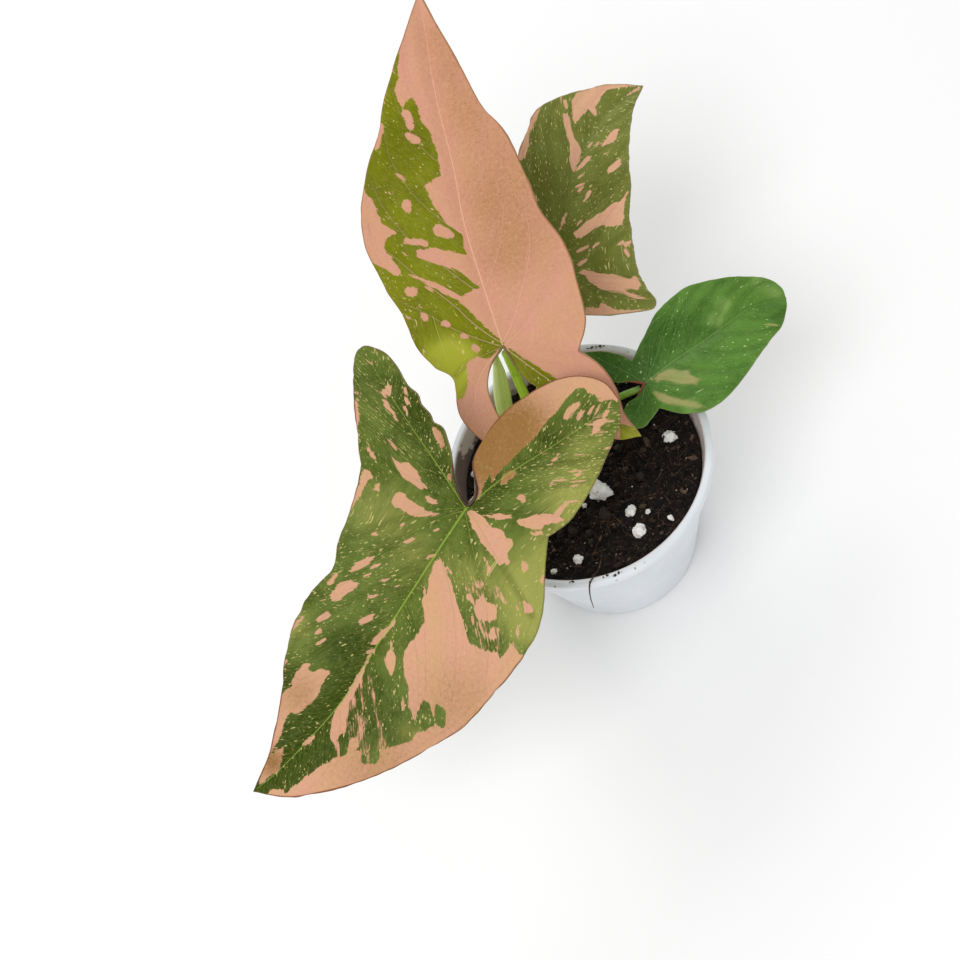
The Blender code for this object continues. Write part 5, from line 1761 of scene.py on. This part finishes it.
@dataclass(frozen=True)
class Soil:
    """The potting mix: a crumbly plug with loose crumbs, fibres and perlite on it."""

    bed: EarthFinish
    bark: EarthFinish
    fibre: EarthFinish
    grains: PerliteFinish
    rings: int = 70
    steps: int = 180
    crumbs: int = 1700
    fibres: int = 190
    specks: int = 70
    seed: int = 5
    least_crumb: float = 0.2
    crumb_spread: float = 0.9
    crumb_power: float = 3.2
    fine_crumb: float = 0.8
    crumb_roughness: float = 0.7
    clean_dust: float = 0.12
    fibre_reach: float = 0.85

    def build_bed(self) -> bpy.types.Object:
        """The plug with its crumbly top."""
        floor = POT_FLOOR + 0.4
        reach = soil_reach()
        section = [(0.0, floor), (wall_radius(floor) - POT_WALL - 1.2, floor)]
        section += [(wall_radius(z) - POT_WALL - 0.4, z) for z in (4.0, SOIL_TOP - 3.0)]
        section += [(reach * (1 - ring / self.rings), SOIL_TOP) for ring in range(self.rings + 1)]
        bm = turn_section(section, self.steps)
        for vert in bm.verts:
            if vert.co.z > (SOIL_TOP - 1) * MM:
                vert.co.z = crumbly_height(vert.co.x / MM, vert.co.y / MM) * MM
        bmesh.ops.recalc_face_normals(bm, faces=bm.faces)
        return settle(add_piece("soil_bed", bm, [self.bed.material()]), "soil", "soil")

    def lump(self, bm: bmesh.types.BMesh, draw: random.Random, place: Vector, size: float,
             detail: int, stretch: Vector, rough: float) -> list:
        """Add one uneven lump.

        Args:
            bm: where it is added.
            draw: the seeded random source.
            place: its middle, in millimetres.
            size: its radius, in millimetres.
            detail: how finely the ball is divided.
            stretch: its three proportions.
            rough: how uneven it is.

        Returns:
            Its vertices.
        """
        ball = bmesh.ops.create_icosphere(bm, subdivisions=detail, radius=1.0)["verts"]
        turn = Matrix.Rotation(draw.uniform(0, tau), 3, Vector((draw.random(), draw.random(), 1)))
        for vert in ball:
            bump = 1 + rough * noise.noise(vert.co * 1.6 + place * 3)
            bump += rough * 0.5 * noise.noise(vert.co * 4.5 + place * 7)
            shaped = turn @ Vector((vert.co.x * stretch.x, vert.co.y * stretch.y,
                                    vert.co.z * stretch.z))
            vert.co = (place + shaped * size * bump) * MM
        return ball

    def build_crumbs(self) -> bpy.types.Object:
        """Loose crumbs and bits of bark on the bed, and a few on the lip."""
        draw = random.Random(self.seed)
        bm = bmesh.new()
        tones = []
        for _ in range(self.crumbs):
            x, y = scattered(draw, soil_reach() - WALL_CLEARANCE)
            size = self.least_crumb + self.crumb_spread * draw.random() ** self.crumb_power
            stretch = Vector((draw.uniform(0.8, 1.7), draw.uniform(0.6, 1.0),
                              draw.uniform(0.45, 0.8)))
            place = Vector((x, y, crumbly_height(x, y) + size * 0.2))
            detail = 2 if size > self.fine_crumb else 1
            crumb = self.lump(bm, draw, place, size, detail, stretch, self.crumb_roughness)
            tones += [draw.random() ** 6] * len(crumb)
        for angle in self.lip_crumbs(draw):
            away = POT_RIM_RADIUS - draw.uniform(0.7, 1.7)
            size = draw.uniform(0.14, 0.42)
            place = Vector((away * cos(angle), away * sin(angle), POT_HEIGHT + size * 0.3))
            crumb = self.lump(bm, draw, place, size, 1, Vector((1.4, 0.9, 0.6)), 0.5)
            tones += [0.2] * len(crumb)
        piece = add_piece("soil_crumbs", bm, [self.bark.material()])
        store(piece.data, "tone", np.array(tones))
        return settle(piece, "soil")

    @staticmethod
    def lip_crumbs(draw: random.Random) -> list[float]:
        """The angles of the crumbs on the lip: some by the root, some at the back."""
        return [radians(draw.uniform(first, last)) for first, last, count in LIP_CRUMBS
                for _ in range(count)]

    def build_perlite(self, spots: list) -> bpy.types.Object:
        """The white grains, sunk a little into the bed, and their fine specks."""
        draw = random.Random(self.seed + 1)
        bm = bmesh.new()
        bury = []
        for x, y, size in spots:
            top = max(soil_height(x, y), crumbly_height(x, y) - 0.2)
            place = Vector((x, y, top + 0.2 * size))
            stretch = Vector((draw.uniform(0.9, 1.2), draw.uniform(0.8, 1.05),
                              draw.uniform(0.7, 0.9)))
            grain = self.lump(bm, draw, place, size, 4 if size > 1.5 else 3, stretch, 0.42)
            soiled = self.clean_dust if (x, y, size) in SEEN_PERLITE else 1.0
            bury += [clamp((top + 0.3 * size - vert.co.z / MM) / size, soiled, 1.0)
                     for vert in grain]
        for _ in range(self.specks):
            x, y = scattered(draw, soil_reach() - WALL_CLEARANCE)
            size = draw.uniform(0.12, 0.34)
            place = Vector((x, y, crumbly_height(x, y) + 0.4 * size))
            speck = self.lump(bm, draw, place, size, 1, Vector((1.2, 0.9, 0.8)), 0.5)
            bury += [draw.uniform(0.1, 0.5)] * len(speck)
        piece = add_piece("perlite_grains", bm, [self.grains.material()])
        store(piece.data, "bury", np.array(bury))
        return settle(piece, "soil")

    def build_fibres(self, thread: tuple) -> bpy.types.Object:
        """Fine roots and fibres lying on the soil, and the one that hangs over the lip."""
        draw = random.Random(self.seed + 2)
        bm = bmesh.new()
        for _ in range(self.fibres):
            x, y = scattered(draw, soil_reach() * self.fibre_reach)
            turn = draw.uniform(0, tau)
            points = []
            for step in range(5):
                points.append((x, y, crumbly_height(x, y) + draw.uniform(0.15, 0.8)))
                turn += draw.uniform(-0.7, 0.7)
                x += cos(turn) * draw.uniform(0.8, 1.9)
                y += sin(turn) * draw.uniform(0.8, 1.9)
                if hypot(x, y) > soil_reach() - WALL_CLEARANCE:
                    break
            if len(points) > 2:
                thick = draw.uniform(0.05, 0.13)
                add_strand(bm, tuple(points), (thick, thick * 0.5))
        add_strand(bm, thread, (0.24, 0.2, 0.09), steps=24)
        close_strands(bm)
        return settle(add_piece("root_fibres", bm, [self.fibre.material()]), "soil")


def perlite_spots() -> list[tuple[float, float, float]]:
    """Every grain's (x, y, radius) in millimetres: the seen ones, then a seeded scatter."""
    draw = random.Random(PERLITE_SEED)
    stems = [Vector(path[1][:2]) for path in (*(leaf.stalk for leaf in LEAVES), SPEAR_PATH)]
    spots = list(SEEN_PERLITE)
    while len(spots) < len(SEEN_PERLITE) + SCATTERED_PERLITE:
        x, y = scattered(draw, soil_reach() - PERLITE_FROM_EDGE)
        place, radius = Vector((x, y)), draw.uniform(*PERLITE_RADII)
        clear_of_stems = all((place - stem).length > radius + PERLITE_FROM_STEM
                             for stem in stems)
        clear_of_grains = all((place - Vector(spot[:2])).length > radius + spot[2] + PERLITE_APART
                              for spot in spots)
        if clear_of_stems and clear_of_grains:
            spots.append((x, y, radius))
    return spots


# Studio.


@dataclass(frozen=True)
class Studio:
    """The camera at the photograph's angle, the pale floor and the soft lights."""

    eye: tuple = (-23.41, -167.12, 350.25)
    tilt_down: float = 58.95
    roll: float = -33.9
    lens: float = 49.575
    floor_size: float = 6.0
    floor_colour: tuple = (246, 246, 246)
    aim: tuple = (0.0, 0.0, 0.07)
    ambient: float = 0.62

    def add_camera(self) -> None:
        """Aim the camera down at the plant."""
        down, roll = radians(self.tilt_down), radians(self.roll)
        level_right = Vector((1, 0, 0))
        level_up = Vector((0, sin(down), cos(down)))
        right = level_right * cos(roll) + level_up * sin(roll)
        up = level_up * cos(roll) - level_right * sin(roll)
        forward = Vector((0, cos(down), -sin(down)))
        data = bpy.data.cameras.new("camera")
        data.lens = self.lens
        data.sensor_width = 36.0
        data.clip_start = 0.01
        camera = bpy.data.objects.new("camera", data)
        turn = Matrix((right, up, -forward)).transposed().to_4x4()
        camera.matrix_world = Matrix.Translation(Vector(self.eye) * MM) @ turn
        bpy.context.scene.collection.objects.link(camera)
        bpy.context.scene.camera = camera

    def add_light(self, name: str, place: tuple, size: float, power: float) -> None:
        """Add one large soft light that looks at the plant."""
        data = bpy.data.lights.new(name, "AREA")
        data.shape = "DISK"
        data.size = size
        data.energy = power
        light = bpy.data.objects.new(name, data)
        light.location = place
        look = Vector(self.aim) - Vector(place)
        light.rotation_euler = look.to_track_quat("-Z", "Y").to_euler()
        bpy.context.scene.collection.objects.link(light)

    def add_floor(self) -> None:
        """Lay the pale floor."""
        bm = bmesh.new()
        bmesh.ops.create_grid(bm, x_segments=1, y_segments=1, size=self.floor_size / 2)
        finish = ShaderSheet("pale_floor").finish(srgb(*self.floor_colour), 0.9)
        floor = add_piece("floor", bm, [finish])

    def build(self) -> None:
        """Set the whole studio up."""
        self.add_camera()
        self.add_floor()
        self.add_light("key_light", (-0.5, -0.45, 1.15), size=0.8, power=7.6)
        self.add_light("back_light", (0.1, 0.95, 0.9), size=0.7, power=4.0)
        world = bpy.data.worlds.new("soft_room")
        world.use_nodes = True
        background = world.node_tree.nodes["Background"]
        background.inputs["Color"].default_value = (1, 1, 1, 1)
        background.inputs["Strength"].default_value = self.ambient
        scene = bpy.context.scene
        scene.world = world
        scene.view_settings.view_transform = "Standard"


STALK_GREEN = StalkFinish("leaf_stalk", body=(142, 180, 30), light=(172, 204, 60),
                          dark=(108, 144, 16), collar=(150, 180, 60))
FRONT_STALK = StalkFinish("front_leaf_stalk", body=(134, 160, 72), light=(164, 186, 104),
                          dark=(110, 120, 50), collar=(96, 54, 34))
SPEAR_GREEN = StalkFinish("rolled_leaf", body=(196, 222, 104), light=(218, 234, 140),
                          dark=(160, 194, 66), collar=(160, 190, 76))
# The small leaf's stalk is a darker green than the others: partly its own colour, partly painted
# shade.
SMALL_STALK_PAINTED_SHADE = StalkFinish("small_leaf_stalk", body=(96, 142, 30), light=(128, 170, 56),
                          dark=(70, 112, 18), collar=(90, 130, 40))
STALK_FINISHES = {"front_leaf": FRONT_STALK, "small_leaf": SMALL_STALK_PAINTED_SHADE}


def build_plant() -> None:
    """Build every piece of the plant and its pot."""
    for leaf in LEAVES:
        Blade(leaf).build()
        finish = STALK_FINISHES.get(leaf.name, STALK_GREEN)
        Stalk(f"{leaf.name}_stalk", leaf.stalk, leaf.stalk_radii, leaf.heading,
              finish).build(f"{leaf.name}_petiole")
    RolledLeaf("rolled_leaf_spear", SPEAR_PATH, SPEAR_RADII, 40, SPEAR_GREEN,
               around=44).build("rolled_new_leaf")
    Pot(PotFinish()).build()
    soil = Soil(
        bed=EarthFinish("soil", dark=(10, 7, 6), light=(58, 42, 34), grit=(112, 88, 70)),
        bark=EarthFinish("soil_crumb", dark=(13, 9, 7), light=(56, 41, 33),
                         grit=(140, 114, 90)),
        fibre=EarthFinish("root_fibre", dark=(64, 46, 34), light=(132, 102, 72),
                          grit=(160, 130, 96)),
        grains=PerliteFinish(),
    )
    soil.build_bed()
    soil.build_crumbs()
    soil.build_perlite(perlite_spots())
    soil.build_fibres(ROOT_THREAD)


def main() -> None:
    """Load the frame, and build the studio and the plant."""
    logging.basicConfig(level=logging.INFO, format="%(message)s")
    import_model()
    Studio().build()
    build_plant()
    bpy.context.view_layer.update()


if __name__ == "__main__":
    main()
